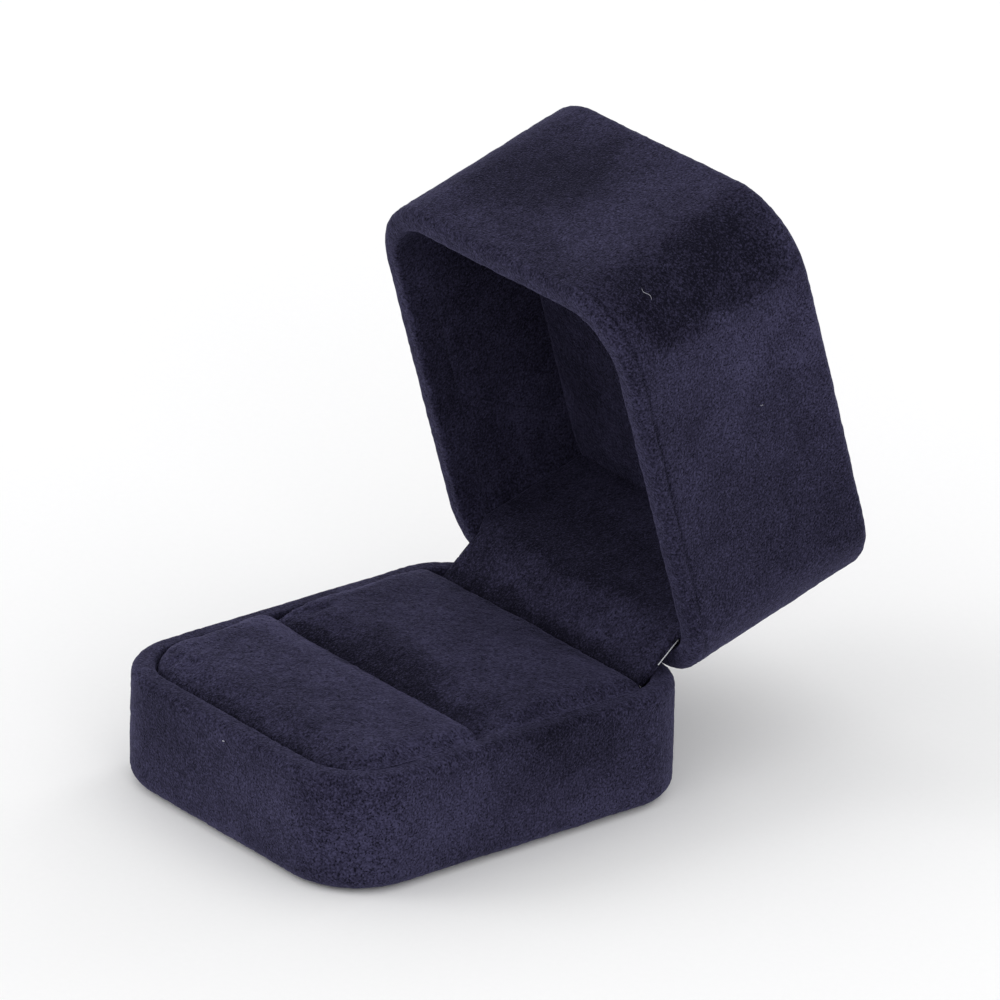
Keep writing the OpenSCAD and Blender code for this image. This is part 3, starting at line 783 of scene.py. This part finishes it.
# Most of these lining patches are painted shade: darker low on the rear lining and hinge strip,
# near the lid panel's edges and along the top of the left wall.
LINING_NAP_AND_SHADE = (
    (-4, 26, 27, 20, 3, 6.5, -0.42), (-3, 26, 34, 11, 3, 4, -0.15),
    (0, 30.2, 11.8, 27, 2.6, 2.6, -0.50), (2, 26, 23.0, 24, 3, 2.6, -0.20),
    (-18, 25, 41.7, 9, 2.5, 3, -0.25), (12, -21, 41.7, 10, 10, 3, 0.14),
    (-8, 28, 17.5, 18, 4, 4.5, -0.12),
    (-16, -28, 41.7, 13, 8, 4, -0.40),
    (2, -11, 41.7, 8, 7, 3, -0.30), (-16, 5, 41.7, 9, 14, 3, -0.16), (8, 4, 41.7, 9, 7, 3, 0.16),
    (-26, -24, 37, 3, 9, 9, -0.50), (-26, -2, 37.5, 3, 20, 4.5, -0.14),
    (-26, 13, 37, 3, 12, 7, 0.20), (-26, -14, 28, 3, 6, 6, -0.14))


class PieceOperator:
    """What every piece's operator shares."""
    bl_options = {"REGISTER", "UNDO"}

    def execute(self, context):
        self.build(context.scene.ring_box_sizes, context.scene.ring_box_colours)
        return {"FINISHED"}


class RINGBOX_OT_base_covering(PieceOperator, bpy.types.Operator):
    """Velvet glued round the base tray, over its rim and in under its foot"""
    bl_idname = "ring_box.base_covering"
    bl_label = "Base covering"

    def build(self, size, colours):
        made, lean_and_shade = covering(
            "base_velvet", size, BASE_RIM, -1, BASE_RIM - float(BASE_LOW[2]),
            size.foot_round, False, lambda p: np.full(p.shape[:-1], 0.15), 11)
        store_pile_and_shade(made, lean_and_shade + patched_pile_and_shade(points_of(made), BASE_NAP, 0.5, 21))
        dress(made, "Velvet", "base", ["base_wrap"])


class RINGBOX_OT_lid_covering(PieceOperator, bpy.types.Operator):
    """Velvet glued over the lid, round its crown and rim and a little way inside"""
    bl_idname = "ring_box.lid_covering"
    bl_label = "Lid covering"

    def build(self, size, colours):
        made, lean_and_shade = covering(
            "lid_velvet", size, LID_RIM, 1, float(LID_HIGH[2]) - LID_RIM,
            size.crown_round, True, lambda p: smooth(p[..., 0], 0.0, 0.028), 31)
        points = points_of(made)
        x, y, z = np.moveaxis(points / MM, -1, 0)
        uneven = 0.9 * lattice_noise(points, 0.004, 45) + 0.5 * lattice_noise(points, 0.0012, 46)
        corner = smooth(-y + uneven, 23.0, 25.2) * smooth(x + 2 * uneven, 15.0, 24.0)
        corner = corner * smooth(z + 2 * uneven, 21.0, 25.0) * (1 - smooth(z, 47.0, 53.0))
        store_pile_and_shade(made, lean_and_shade - 0.32 * corner + patched_pile_and_shade(points, LID_NAP, 0.5, 41))
        move_to(made, opened(points, "lid"))
        dress(made, "Velvet", "lid", ["lid_wrap"])


def wall_lining(name, size, low, high, face_inset, seed):
    """A strip of lined card round the inside of the walls: a flat section with eased edges,
    carried round the plan."""
    plan = box_plan(size, 1.3)
    back = size.rim_width - size.cloth
    ease = 0.1 * (face_inset - back)
    line = rounded_line([(back + 0.1 * MM, low, 0), (face_inset, low, ease),
                         (face_inset, high, ease), (back + 0.1 * MM, high, 0)],
                        size.cell * 1.3)
    line = np.concatenate([line, [(back, high), (back, low)]])
    first = carried(plan, line[:, 0][None], line[:, 1][None])
    rim = BASE_RIM if low < BASE_RIM else LID_RIM
    limit = hinge_limit(first, np.abs(line[:, 1][None] - rim), size, line[:, 0][None] <= back)
    grid = carried(plan, np.minimum(line[:, 0][None], limit), line[:, 1][None])
    height = size.ripple * lattice_noise(grid, 0.007, seed)
    height = height + size.pile * lattice_noise(grid, 0.0008, seed + 1)
    still = 1 - smooth(np.abs(line[:, 1][None] - rim), size.turn_in, size.turn_in + 2.5 * MM)
    free = (line[:, 0][None] > back + 0.2 * MM) * (limit > 0.5) * (1 - still)
    grid = grid + grid_normals(grid, True) * (height * free)[..., None]
    return looped(name, grid)


class RINGBOX_OT_wall_linings(PieceOperator, bpy.types.Operator):
    """Velvet-faced card round the inside walls of the base and the lid"""
    bl_idname = "ring_box.wall_linings"
    bl_label = "Wall linings"

    def build(self, size, colours):
        proud = size.rim_width
        low, high = shut_box("base_wall_liner")
        made = wall_lining("base_wall_lining", size, float(low[2]), float(high[2]), proud, 51)
        store_pile_and_shade(made, patched_pile_and_shade(points_of(made), [], 0.42, 52))
        dress(made, "Lining velvet", "base", ["base_wall_liner"])
        made = wall_lining("lid_wall_lining", size, float(LINER_LOW[2]), float(LINER_HIGH[2]),
                           proud, 55)
        points = points_of(made)
        store_pile_and_shade(made, patched_pile_and_shade(points, LINING_NAP_AND_SHADE, 0.42, 56))
        move_to(made, opened(points, "lid"))
        dress(made, "Lining velvet", "lid", ["lid_wall_liner"])


def pad_form(name, low, high, front_r, rear_r, falls, rise, step):
    """A pad before it swells: a rounded block whose top height is the top less one fall for
    each side, fall * (1 - distance / reach)^2 within that side's reach, plus a soft rise of
    exp(-d^2) round one place."""
    middle = (np.array(low[:2]) + high[:2]) / 2
    centre, radius, facing = rounded_plan(low[:2], high[:2], front_r, rear_r, step)
    ease = 0.6 * MM
    deep = min(front_r, rear_r) * 0.5
    line = rounded_line([(deep, 0, 0), (0, 0, ease), (0, high[2] - low[2], ease),
                         (deep, high[2] - low[2], 0)], step)
    inset, depth, share_out = drawn_in(line, 0.02, 26, 26)
    grid = carried((centre - middle, radius, facing), inset, high[2] - depth, share_out)
    grid[..., :2] += middle
    top = np.zeros(grid.shape[:-1])
    for axis, edge, fall, reach in falls:
        distance = np.abs(grid[..., axis] - edge)
        top -= fall * np.clip(1 - distance / reach, 0, 1) ** 2
    rise_x, rise_y, rise_reach, rise_by = rise
    away = ((grid[..., 0] - rise_x) ** 2 + (grid[..., 1] - rise_y) ** 2) / rise_reach ** 2
    top += rise_by * np.exp(-away)
    part = smooth(grid[..., 2], low[2] + 0.35 * (high[2] - low[2]), high[2])
    grid[..., 2] += top * part
    return capped(name, grid)


def evaluated_copy(made, name):
    """A new object with the mesh that the modifiers give."""
    view = bpy.context.evaluated_depsgraph_get()
    mesh = bpy.data.meshes.new_from_object(made.evaluated_get(view))
    copy = bpy.data.objects.new(name, mesh)
    bpy.context.scene.collection.objects.link(copy)
    return copy


SOLVER_SCALE = 20.0
SOLVER_FRAMES = 20
PAD_VOXEL = 0.62 * MM   # cells of the remeshed pads
PAD_HOLD = 3.2 * MM     # the cloth is held further than this below the top
PAD_INSET = 0.12 * MM   # the form stands back this far, to leave room for the swelling
PAD_LOW = 0.35 * MM     # and this far below the top
PAD_CRISP = 1.3 * MM    # the edge that keeps its shape
PAD_GAP = 0.04 * MM     # least gap to the tray's lining
PAD_LAP = 0.9 * MM      # reach of the pads over the rim


def swollen(made, hold_below, crisp, cap, voxel):
    """The form's cloth blown up a little: it is remeshed, scaled up for the solver, held below
    a height and along its crisp edge (past that y, on the side that the sign gives), swollen
    by an even pressure without gravity, and no point moves more than the cap. It comes back to
    size with one subdivision."""
    name = made.name
    made.data.transform(Matrix.Scale(SOLVER_SCALE, 4))
    remesh = made.modifiers.new("remesh", "REMESH")
    remesh.mode = "VOXEL"
    remesh.voxel_size = voxel * SOLVER_SCALE
    pad = evaluated_copy(made, name + "_cloth")
    bpy.data.objects.remove(made)
    start = points_of(pad)
    moved = start
    held = pad.vertex_groups.new(name="held")
    edge, sign = crisp
    held_here = (start[:, 2] < hold_below * SOLVER_SCALE) | (
        start[:, 1] * sign > edge * sign * SOLVER_SCALE)
    fixed = np.nonzero(held_here)[0]
    held.add([int(k) for k in fixed], 1.0, "REPLACE")
    cloth = pad.modifiers.new("cloth", "CLOTH")
    values = cloth.settings
    values.quality = 6
    values.mass = 0.3
    values.tension_stiffness = values.compression_stiffness = 14.0
    values.shear_stiffness = 6.0
    values.bending_stiffness = 0.6
    values.vertex_group_mass = "held"
    values.use_pressure = True
    values.uniform_pressure_force = 4.0
    values.effector_weights.gravity = 0.0
    cloth.collision_settings.use_collision = False
    cloth.collision_settings.use_self_collision = False
    for number in range(1, SOLVER_FRAMES + 1):
        bpy.context.scene.frame_set(number)
    blown = evaluated_copy(pad, name + "_blown")
    moved = points_of(blown)
    bpy.data.objects.remove(blown)
    pad.modifiers.clear()
    bpy.context.scene.frame_set(1)
    step = moved - start
    far = np.linalg.norm(step, axis=1, keepdims=True)
    limit = cap * SOLVER_SCALE
    step *= np.where(far > 0, limit * np.tanh(far / limit) / np.maximum(far, 1e-9), 1)
    move_to(pad, (start + step) / SOLVER_SCALE)
    pad.data.update()
    finer = pad.modifiers.new("finer", "SUBSURF")
    finer.levels = finer.render_levels = 1
    done = evaluated_copy(pad, name)
    bpy.data.objects.remove(pad)
    done.name = name
    done.data.polygons.foreach_set("use_smooth", np.ones(len(done.data.polygons), bool))
    return done


def kept_inside(points, low, high, radius_front, radius_rear, gap):
    """Points moved onto a rounded rectangle where they passed outside it: a point is measured
    from the nearest corner centre, and its distance there is held to the corner's radius."""
    x0, y0, x1, y1 = low[0] + gap, low[1] + gap, high[0] - gap, high[1] - gap
    out = points.copy()
    out[:, 0], out[:, 1] = np.clip(out[:, 0], x0, x1), np.clip(out[:, 1], y0, y1)
    for sx, edge_x in ((-1, x0), (1, x1)):
        for sy, edge_y, radius in ((-1, y0, radius_front), (1, y1, radius_rear)):
            centre = np.array([edge_x - sx * radius, edge_y - sy * radius])
            away = out[:, :2] - centre
            beyond = (away[:, 0] * sx > 0) & (away[:, 1] * sy > 0)
            far = np.linalg.norm(away, axis=1)
            pull = beyond & (far > radius)
            out[pull, :2] = centre + away[pull] * (radius / far[pull])[:, None]
    return out


def lapped(points, low, high, radius):
    """Points near the tray's +X side laid over its rim: within 2 mm of the tray's inner outline
    (its straight side and the front corner's arc) they rise to just above the rim and reach
    outwards over it, so that pad and rim meet without a crease."""
    out = points.copy()
    away = np.stack([np.maximum(out[:, 0] - (high[0] - radius), 0),
                     np.minimum(out[:, 1] - (low[1] + radius), 0)], 1)
    far = np.maximum(np.linalg.norm(away, axis=1), 1e-9)
    facing = away / far[:, None]
    weight = smooth(far, radius - 1.7 * MM, radius - 0.3 * MM) * smooth(facing[:, 0], 0.45, 0.9)
    weight = weight * smooth(out[:, 2], BASE_RIM - 2.2 * MM, BASE_RIM - 1.0 * MM)
    out[:, :2] += PAD_LAP * weight[:, None] * facing
    out[:, 2] += weight * (BASE_RIM + 0.07 * MM - out[:, 2])
    return out


class RINGBOX_OT_ring_pads(PieceOperator, bpy.types.Operator):
    """The two velvet rolls that grip a ring between them"""
    bl_idname = "ring_box.ring_pads"
    bl_label = "Ring pads"

    def build(self, size, colours):
        corner_front = size.front_radius - PANEL_INSET
        corner_rear = size.rear_radius - PANEL_INSET
        small = 1.6 * MM
        tray_low, tray_high = (corner[:2] + side * PANEL_INSET for corner, side in
                               ((BASE_LOW, 1), (BASE_HIGH, -1)))
        bottom = float(FRONT_PAD[0][2])
        top = float(FRONT_PAD[1][2])
        (fx0, fy0, _), (fx1, fy1, _) = FRONT_PAD
        (rx0, ry0, _), (rx1, ry1, _) = REAR_PAD
        # Falls: axis (0 is x, 1 is y), edge, fall, reach. Rise: x, y, reach, rise. Crisp edge:
        # y and the side of it that is held.
        pads = (
            ("front_ring_pad", FRONT_PAD, corner_front, small,
             ((1, fy0, 1.5 * MM, 7 * MM), (1, fy1, 0.2 * MM, 4 * MM),
              (0, fx0, 0.5 * MM, 3 * MM), (0, fx1, 0.3 * MM, 3 * MM)),
             (fx0 + 3 * MM, fy1 - 2 * MM, 4 * MM, 0.5 * MM), (fy1 - PAD_CRISP, 1),
             ["front_pad_cover", "front_pad_foam"]),
            ("rear_ring_pad", REAR_PAD, 0.9 * MM, 1.2 * MM,
             ((1, ry0, 2.4 * MM, 6.5 * MM), (1, ry1, 0.4 * MM, 4 * MM),
              (0, rx0, 0.3 * MM, 3 * MM), (0, rx1, 0.3 * MM, 3 * MM)),
             (0.0, ry1 - 8 * MM, 12 * MM, 0.2 * MM), (ry1 - PAD_CRISP, 1),
             ["rear_pad_cover", "rear_pad_foam"]),
        )
        for k, (name, (low, high), front_r, rear_r, falls, rise, crisp,
                stands_for) in enumerate(pads):
            form = pad_form(name + "_form", (low[0] + PAD_INSET, low[1] + PAD_INSET, bottom),
                            (high[0] - PAD_INSET, high[1] - PAD_INSET, top - PAD_LOW), front_r,
                            rear_r, falls, rise, 0.7 * MM)
            form.name = name
            pad = swollen(form, top - PAD_HOLD, crisp, size.pad_crown, PAD_VOXEL)
            points = kept_inside(points_of(pad), low, high, front_r, rear_r, PAD_GAP)
            points = kept_inside(points, tray_low, tray_high, corner_front, corner_rear, PAD_GAP)
            points = lapped(points, tray_low, tray_high, corner_front)
            normals = np.empty(len(points) * 3, np.float32)
            pad.data.vertices.foreach_get("normal", normals)
            height = (1.2 * size.ripple * lattice_noise(points, 0.006, 61 + k)
                      + 0.8 * size.ripple * lattice_noise(points, 0.0025, 63 + k)
                      + 1.2 * size.pile * lattice_noise(points, 0.0008, 65 + k))
            points = points + normals.reshape(-1, 3) * height[:, None]
            move_to(pad, points)
            pad.data.update()
            store_pile_and_shade(pad, patched_pile_and_shade(points, PAD_NAP_SHADE_AND_HIGHLIGHT, 0.55, 67 + k))
            dress(pad, "Pad velvet", "base", stands_for)

        plan = rounded_plan((fx0 + 0.3 * MM, fy1 - 0.1 * MM), (fx1 - 0.3 * MM, ry0 + 0.1 * MM),
                            0.2 * MM, 0.2 * MM, size.cell)
        made = capped("slot_bottom_velvet", slab(plan, 0.2 * MM, bottom, bottom + 1.5 * MM))
        store_pile_and_shade(made, patched_pile_and_shade(points_of(made), [], 0.3, 69))
        dress(made, "Pad velvet", "base")


def slab(plan, ease, low, high):
    """A thin slab over a plan from low to high, its edge at high drawn in by the ease."""
    line = np.array([(ease, high), (0.1 * ease, high), (0, high + 0.2 * (low - high)), (0, low)])
    return carried(plan, line[:, 0][None], line[:, 1][None])


def strip(name, size, stations, thickness, columns, seed):
    """A strip of cloth across the hinge. Stations are (y, z, half width) along its middle; the
    line between them is rounded by averaging, x runs across in even steps, and the back lies
    one thickness behind the face along the line's normal."""
    stations = np.array(stations, float)
    gaps = np.linalg.norm(np.diff(stations[:, :2], axis=0), axis=1)
    along = np.concatenate([[0], np.cumsum(gaps)])
    at = np.linspace(0, along[-1], ceil(along[-1] / (size.cell * 1.1)) + 1)
    line = np.stack([np.interp(at, along, stations[:, k]) for k in range(3)], 1)
    for _ in range(3):
        line[1:-1, :2] = (line[:-2, :2] + 2 * line[1:-1, :2] + line[2:, :2]) / 4
    ahead = np.gradient(line[:, :2], axis=0)
    ahead /= np.linalg.norm(ahead, axis=1, keepdims=True)
    behind = np.stack([ahead[:, 1], -ahead[:, 0]], 1)
    across = np.linspace(-1, 1, columns)[:, None]
    x = across * line[None, :, 2]
    face = np.stack([x, np.broadcast_to(line[:, 0], x.shape),
                     np.broadcast_to(line[:, 1], x.shape)], -1)
    rounded = 0.35 * thickness * (1 - np.sqrt(np.clip(
        1 - np.clip((np.abs(x) - line[None, :, 2] + thickness) / thickness, 0, 1) ** 2, 0, 1)))
    height = (size.ripple * lattice_noise(face, 0.006, seed)
              + size.pile * lattice_noise(face, 0.0008, seed + 1)) - rounded
    face[..., 1:] -= behind[None] * height[..., None]
    back = np.stack([x, np.broadcast_to(line[:, 0] + thickness * behind[:, 0], x.shape),
                     np.broadcast_to(line[:, 1] + thickness * behind[:, 1], x.shape)], -1)
    return sheet_form(name, face, back), along[-1]


class RINGBOX_OT_hinge_cover(PieceOperator, bpy.types.Operator):
    """The velvet strip from behind the rear pad, over the hinge cover, to the lid's lining"""
    bl_idname = "ring_box.hinge_cover"
    bl_label = "Hinge cover"

    def build(self, size, colours):
        half = float(COVER_HIGH[0])
        lining_half = float(LINING_HIGH[0]) - 0.1 * MM
        thick = float(COVER_HIGH[1] - COVER_LOW[1])
        y = float(COVER_LOW[1])

        def at(body, height, wide):
            _, py, pz = opened(np.array([0.0, y, height]), body)
            return (py, pz, wide)

        bottom, top = float(COVER_LOW[2]), float(COVER_HIGH[2])
        low, high = float(LINING_LOW[2]), float(LINING_HIGH[2])
        stations = [at("bow", bottom + 0.1 * MM, half), at("bow", top - 0.3 * MM, half),
                    at("lid", low, lining_half), at("lid", high, lining_half)]
        made, long = strip("hinge_cover_lining", size, stations, thick * 0.96, 110, 71)
        store_pile_and_shade(made, patched_pile_and_shade(shut(points_of(made), "lid"), LINING_NAP_AND_SHADE, 0.45, 73))
        start, end = at("bow", top - 0.2 * MM, 0), at("lid", low + 0.2 * MM, 0)
        dress(made, "Lining velvet",
              replaces=["hinge_cover_velvet", "lid_rear_velvet"])
        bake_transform(made)

        wrap = 0.05 * MM
        for place, wide, low_end, high_end in (("end", 1.1, 0.1, 4.3), ("edge", 0.78, 4.2, 9.6)):
            plan = rounded_plan((y + 0.1 * MM, bottom + low_end * MM),
                                (y + wide * MM, bottom + high_end * MM),
                                0.25 * MM, 0.25 * MM, size.cell * 0.6)
            for side, hand in ((-1, "left"), (1, "right")):
                grid = slab(plan, 0.2 * MM, side * (half - wrap), side * (half + wrap))
                made = capped(f"hinge_cover_{hand}_{place}", opened(grid[..., [2, 0, 1]], "bow"))
                store_pile_and_shade(made, patched_pile_and_shade(points_of(made), [], 0.3, 79))
                dress(made, "Lining velvet", "bow")

        tail_y, tail_top = float(TAIL_LOW[1]) + 0.1 * MM, float(TAIL_HIGH[2])
        foot = (tail_y, float(TAIL_LOW[2]) + 0.1 * MM, half)
        bend = (tail_y, tail_top, half)
        joined = opened(np.array([0.0, y + 0.1 * MM, bottom + 0.05 * MM]), "bow")[1:]
        stations = [foot, bend, (*joined, half)]
        made, long = strip("hinge_cover_tail_cloth", size, stations, thick * 0.7, 90, 75)
        store_pile_and_shade(made, patched_pile_and_shade(points_of(made), [], 0.4, 77))
        dress(made, "Lining velvet", replaces=["hinge_cover_tail"])
        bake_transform(made)


class RINGBOX_OT_lid_panel(PieceOperator, bpy.types.Operator):
    """The softly padded velvet panel across the inside of the lid"""
    bl_idname = "ring_box.lid_panel"
    bl_label = "Lid panel"

    def build(self, size, colours):
        plan = box_plan(size, 1.3)
        face, back = float(PANEL_LOW[2]), float(shut_box("lid_panel_foam")[1][2])
        inset, ease = PANEL_INSET, 0.5 * MM
        deep = size.rear_radius - 1.2 * MM
        line = rounded_line([(deep, face, 0), (inset, face, ease), (inset, back, 0.2 * MM),
                             (deep, back, 0)], size.cell * 1.3)
        grid = carried(plan, *drawn_in(line, 0.015, 34, 8))
        half = BASE_HIGH[:2] - inset
        bulge = np.clip(1 - np.abs(grid[..., 0] / half[0]) ** 4, 0, 1)
        bulge = bulge * np.clip(1 - np.abs(grid[..., 1] / half[1]) ** 4, 0, 1)
        soft = smooth(back - grid[..., 2], 0.3 * MM, back - face)
        lift = 0.45 * MM * bulge + size.ripple * 2 * lattice_noise(grid, 0.009, 81)
        lift = lift + size.pile * lattice_noise(grid, 0.0008, 82)
        grid[..., 2] -= lift * soft
        made = capped("lid_inner_panel", grid)
        points = points_of(made)
        store_pile_and_shade(made, patched_pile_and_shade(points, LINING_NAP_AND_SHADE, 0.38, 83))
        move_to(made, opened(points, "lid"))
        dress(made, "Lining velvet", "lid", ["lid_panel_velvet", "lid_panel_foam"])


class RINGBOX_OT_underside_felt(PieceOperator, bpy.types.Operator):
    """The felt that the box stands on"""
    bl_idname = "ring_box.underside_felt"
    bl_label = "Underside felt"

    def build(self, size, colours):
        inset = float(BASE_HIGH[0] - FELT_HIGH[0])
        plan = box_plan(size, 1.6)
        low, high = float(FELT_LOW[2]), float(FELT_HIGH[2])
        deep = size.rear_radius - 1.5 * MM
        line = rounded_line([(deep, low, 0), (inset, low, 0.15 * MM), (inset, high, 0),
                             (deep, high, 0)], size.cell * 0.8)
        inset_line, height, share_out = drawn_in(line, 0.02, 24, 24)
        grid = carried(plan, inset_line, height, share_out)
        lower = smooth(high - grid[..., 2], 0.1 * MM, high - low)
        grid[..., 2] += lower * 0.035 * MM * (1 + lattice_noise(grid, 0.0012, 91))
        edge = 0.06 * MM * lattice_noise(grid, 0.0014, 92) * (share_out == 1)
        grid[..., :2] *= (1 + edge / BASE_HIGH[0])[..., None]
        made = capped("underside_felt", grid)
        dress(made, "Felt", "base", ["base_underside_felt"])


class RINGBOX_OT_hard_parts(PieceOperator, bpy.types.Operator):
    """Finishes for the shells, boards, card, foam and hinge, which keep their CAD shapes"""
    bl_idname = "ring_box.hard_parts"
    bl_label = "Shells, boards and hinge"

    def build(self, size, colours):
        finishes = {"velvet": "Velvet", "felt": "Felt", "foam": "Foam",
                    "moulded_shell": "Moulded shell", "greyboard": "Grey board",
                    "white_card": "Pale card", "plated_steel": "Plated steel",
                    "spring_steel": "Spring steel"}
        table = finish_table(colours)
        for part in RECORD["subparts"]:
            node = frame["nodes"][part["node"]]
            if not node.hide_render:
                node.data.materials.clear()
                node.data.materials.append(table[finishes[part["material_slot"]]])


class RINGBOX_OT_lint(PieceOperator, bpy.types.Operator):
    """A few stray fibres that the pile has picked up"""
    bl_idname = "ring_box.lint"
    bl_label = "Lint"

    def build(self, size, colours):
        # Name, body, middle, direction, length, radius, seed, in millimetres of the shut box
        fibres = (
            ("lid_stray_fibre", "lid", (25.4, -31.1, 28.0), (0.80, 0.60, 0.0), 2.3, 0.028, 101),
            ("lid_second_fibre", "lid", (30.0, -6.0, 40.0), (0.0, 0.6, 0.8), 0.7, 0.025, 107),
            ("base_stray_speck", "base", (1.7, -34.05, 16.6), (1.0, 0.0, 0.0), 0.5, 0.07, 103),
        )
        for name, body, centre, ahead, long, radius, seed in fibres:
            t = np.linspace(-0.5, 0.5, 15)[:, None]
            bend_out, bend_up = np.random.default_rng(seed).uniform(0.05, 0.2, 2)
            out = np.array([ahead[1], -ahead[0], 0.0]) / np.hypot(*ahead[:2])
            up = np.cross(out, ahead)
            curve = long * (t * np.array(ahead) + bend_up * np.sin(2 * pi * t) * up)
            curve = curve + (0.06 + 0.6 * bend_out * np.cos(pi * t) ** 2) * out
            line = (np.array(centre) + curve) * MM
            dress(tube(name, opened(line, body), radius * MM), "Lint", body)


CAMERA_PLACE = (1.27833, -0.9995, 0.7581)
CAMERA_TURN = (66.3093, -1.1005, 51.9583)
CAMERA_LENS = 432.0


class RINGBOX_OT_stage(PieceOperator, bpy.types.Operator):
    """Floor, soft lights and the camera"""
    bl_idname = "ring_box.stage"
    bl_label = "Stage"

    def build(self, size, colours):
        scene = bpy.context.scene
        material, n, shader, place = surface("Floor paper", Roughness=0.9,
                                             Specular_IOR_Level=0.1)
        tooth = n.noise(place, 900.0, 3.0, 0.6)
        tone = rgba(colours.floor)
        n.link(n.mix(n.remap(tooth, 0.2, 0.8), rgba([v * 0.985 for v in colours.floor]), tone),
               shader.inputs["Base Color"])
        half = 6.0
        floor = new_mesh("floor", [(-half, -half, 0), (half, -half, 0), (half, half, 0),
                                   (-half, half, 0)], [(0, 1, 2, 3)])
        floor.data.materials.append(material)

        world = bpy.data.worlds.new("Soft room")
        scene.world = world
        world.use_nodes = True
        background = world.node_tree.nodes["Background"]
        background.inputs["Color"].default_value = (1.0, 1.0, 1.0, 1.0)
        background.inputs["Strength"].default_value = 0.9
        scene.view_settings.view_transform = "Standard"

        # Name, place, width and power
        lights = (("key", (-1.1, -1.2, 0.9), 1.0, 7.0), ("fill", (1.5, -0.7, 0.5), 1.2, 6.0),
                  ("back", (-0.2, 1.3, 0.8), 0.8, 3.0))
        for name, place, wide, power in lights:
            lamp = bpy.data.lights.new(name, "AREA")
            lamp.shape, lamp.size, lamp.energy = "DISK", wide, power
            holder = bpy.data.objects.new(name, lamp)
            holder.location = place
            direction = np.array([0, 0, 0.03]) - np.array(place)
            yaw = np.arctan2(direction[0], -direction[1])
            tilt = np.arctan2(np.hypot(*direction[:2]), -direction[2])
            holder.rotation_euler = (tilt, 0, pi + yaw)
            scene.collection.objects.link(holder)

        lens = bpy.data.cameras.new("camera")
        lens.lens, lens.sensor_width = CAMERA_LENS, 36.0
        lens.clip_start, lens.clip_end = 0.05, 20.0
        camera = bpy.data.objects.new("camera", lens)
        camera.location = CAMERA_PLACE
        camera.rotation_euler = [radians(turn) for turn in CAMERA_TURN]
        scene.collection.objects.link(camera)
        scene.camera = camera


PIECES = (RINGBOX_OT_base_covering, RINGBOX_OT_lid_covering, RINGBOX_OT_wall_linings,
          RINGBOX_OT_ring_pads, RINGBOX_OT_hinge_cover, RINGBOX_OT_lid_panel,
          RINGBOX_OT_underside_felt, RINGBOX_OT_lint, RINGBOX_OT_hard_parts, RINGBOX_OT_stage)


class RINGBOX_PT_panel(bpy.types.Panel):
    """Sizes, colours and one button for each piece"""
    bl_label = "Ring box"
    bl_idname = "RINGBOX_PT_panel"
    bl_space_type = "VIEW_3D"
    bl_region_type = "UI"
    bl_category = "Ring box"

    def draw(self, context):
        for owner in (context.scene.ring_box_sizes, context.scene.ring_box_colours):
            column = self.layout.column()
            for name in owner.__annotations__:
                column.prop(owner, name)
        for piece in PIECES:
            self.layout.operator(piece.bl_idname)


CLASSES = (RingBoxSizes, RingBoxColours, *PIECES, RINGBOX_PT_panel)


def register():
    for one in CLASSES:
        bpy.utils.register_class(one)
    bpy.types.Scene.ring_box_sizes = bpy.props.PointerProperty(type=RingBoxSizes)
    bpy.types.Scene.ring_box_colours = bpy.props.PointerProperty(type=RingBoxColours)


def unregister():
    del bpy.types.Scene.ring_box_sizes
    del bpy.types.Scene.ring_box_colours
    for one in reversed(CLASSES):
        bpy.utils.unregister_class(one)


def main():
    register()
    for piece in PIECES:
        section, name = piece.bl_idname.split(".")
        getattr(getattr(bpy.ops, section), name)()


if __name__ == "__main__":
    main()
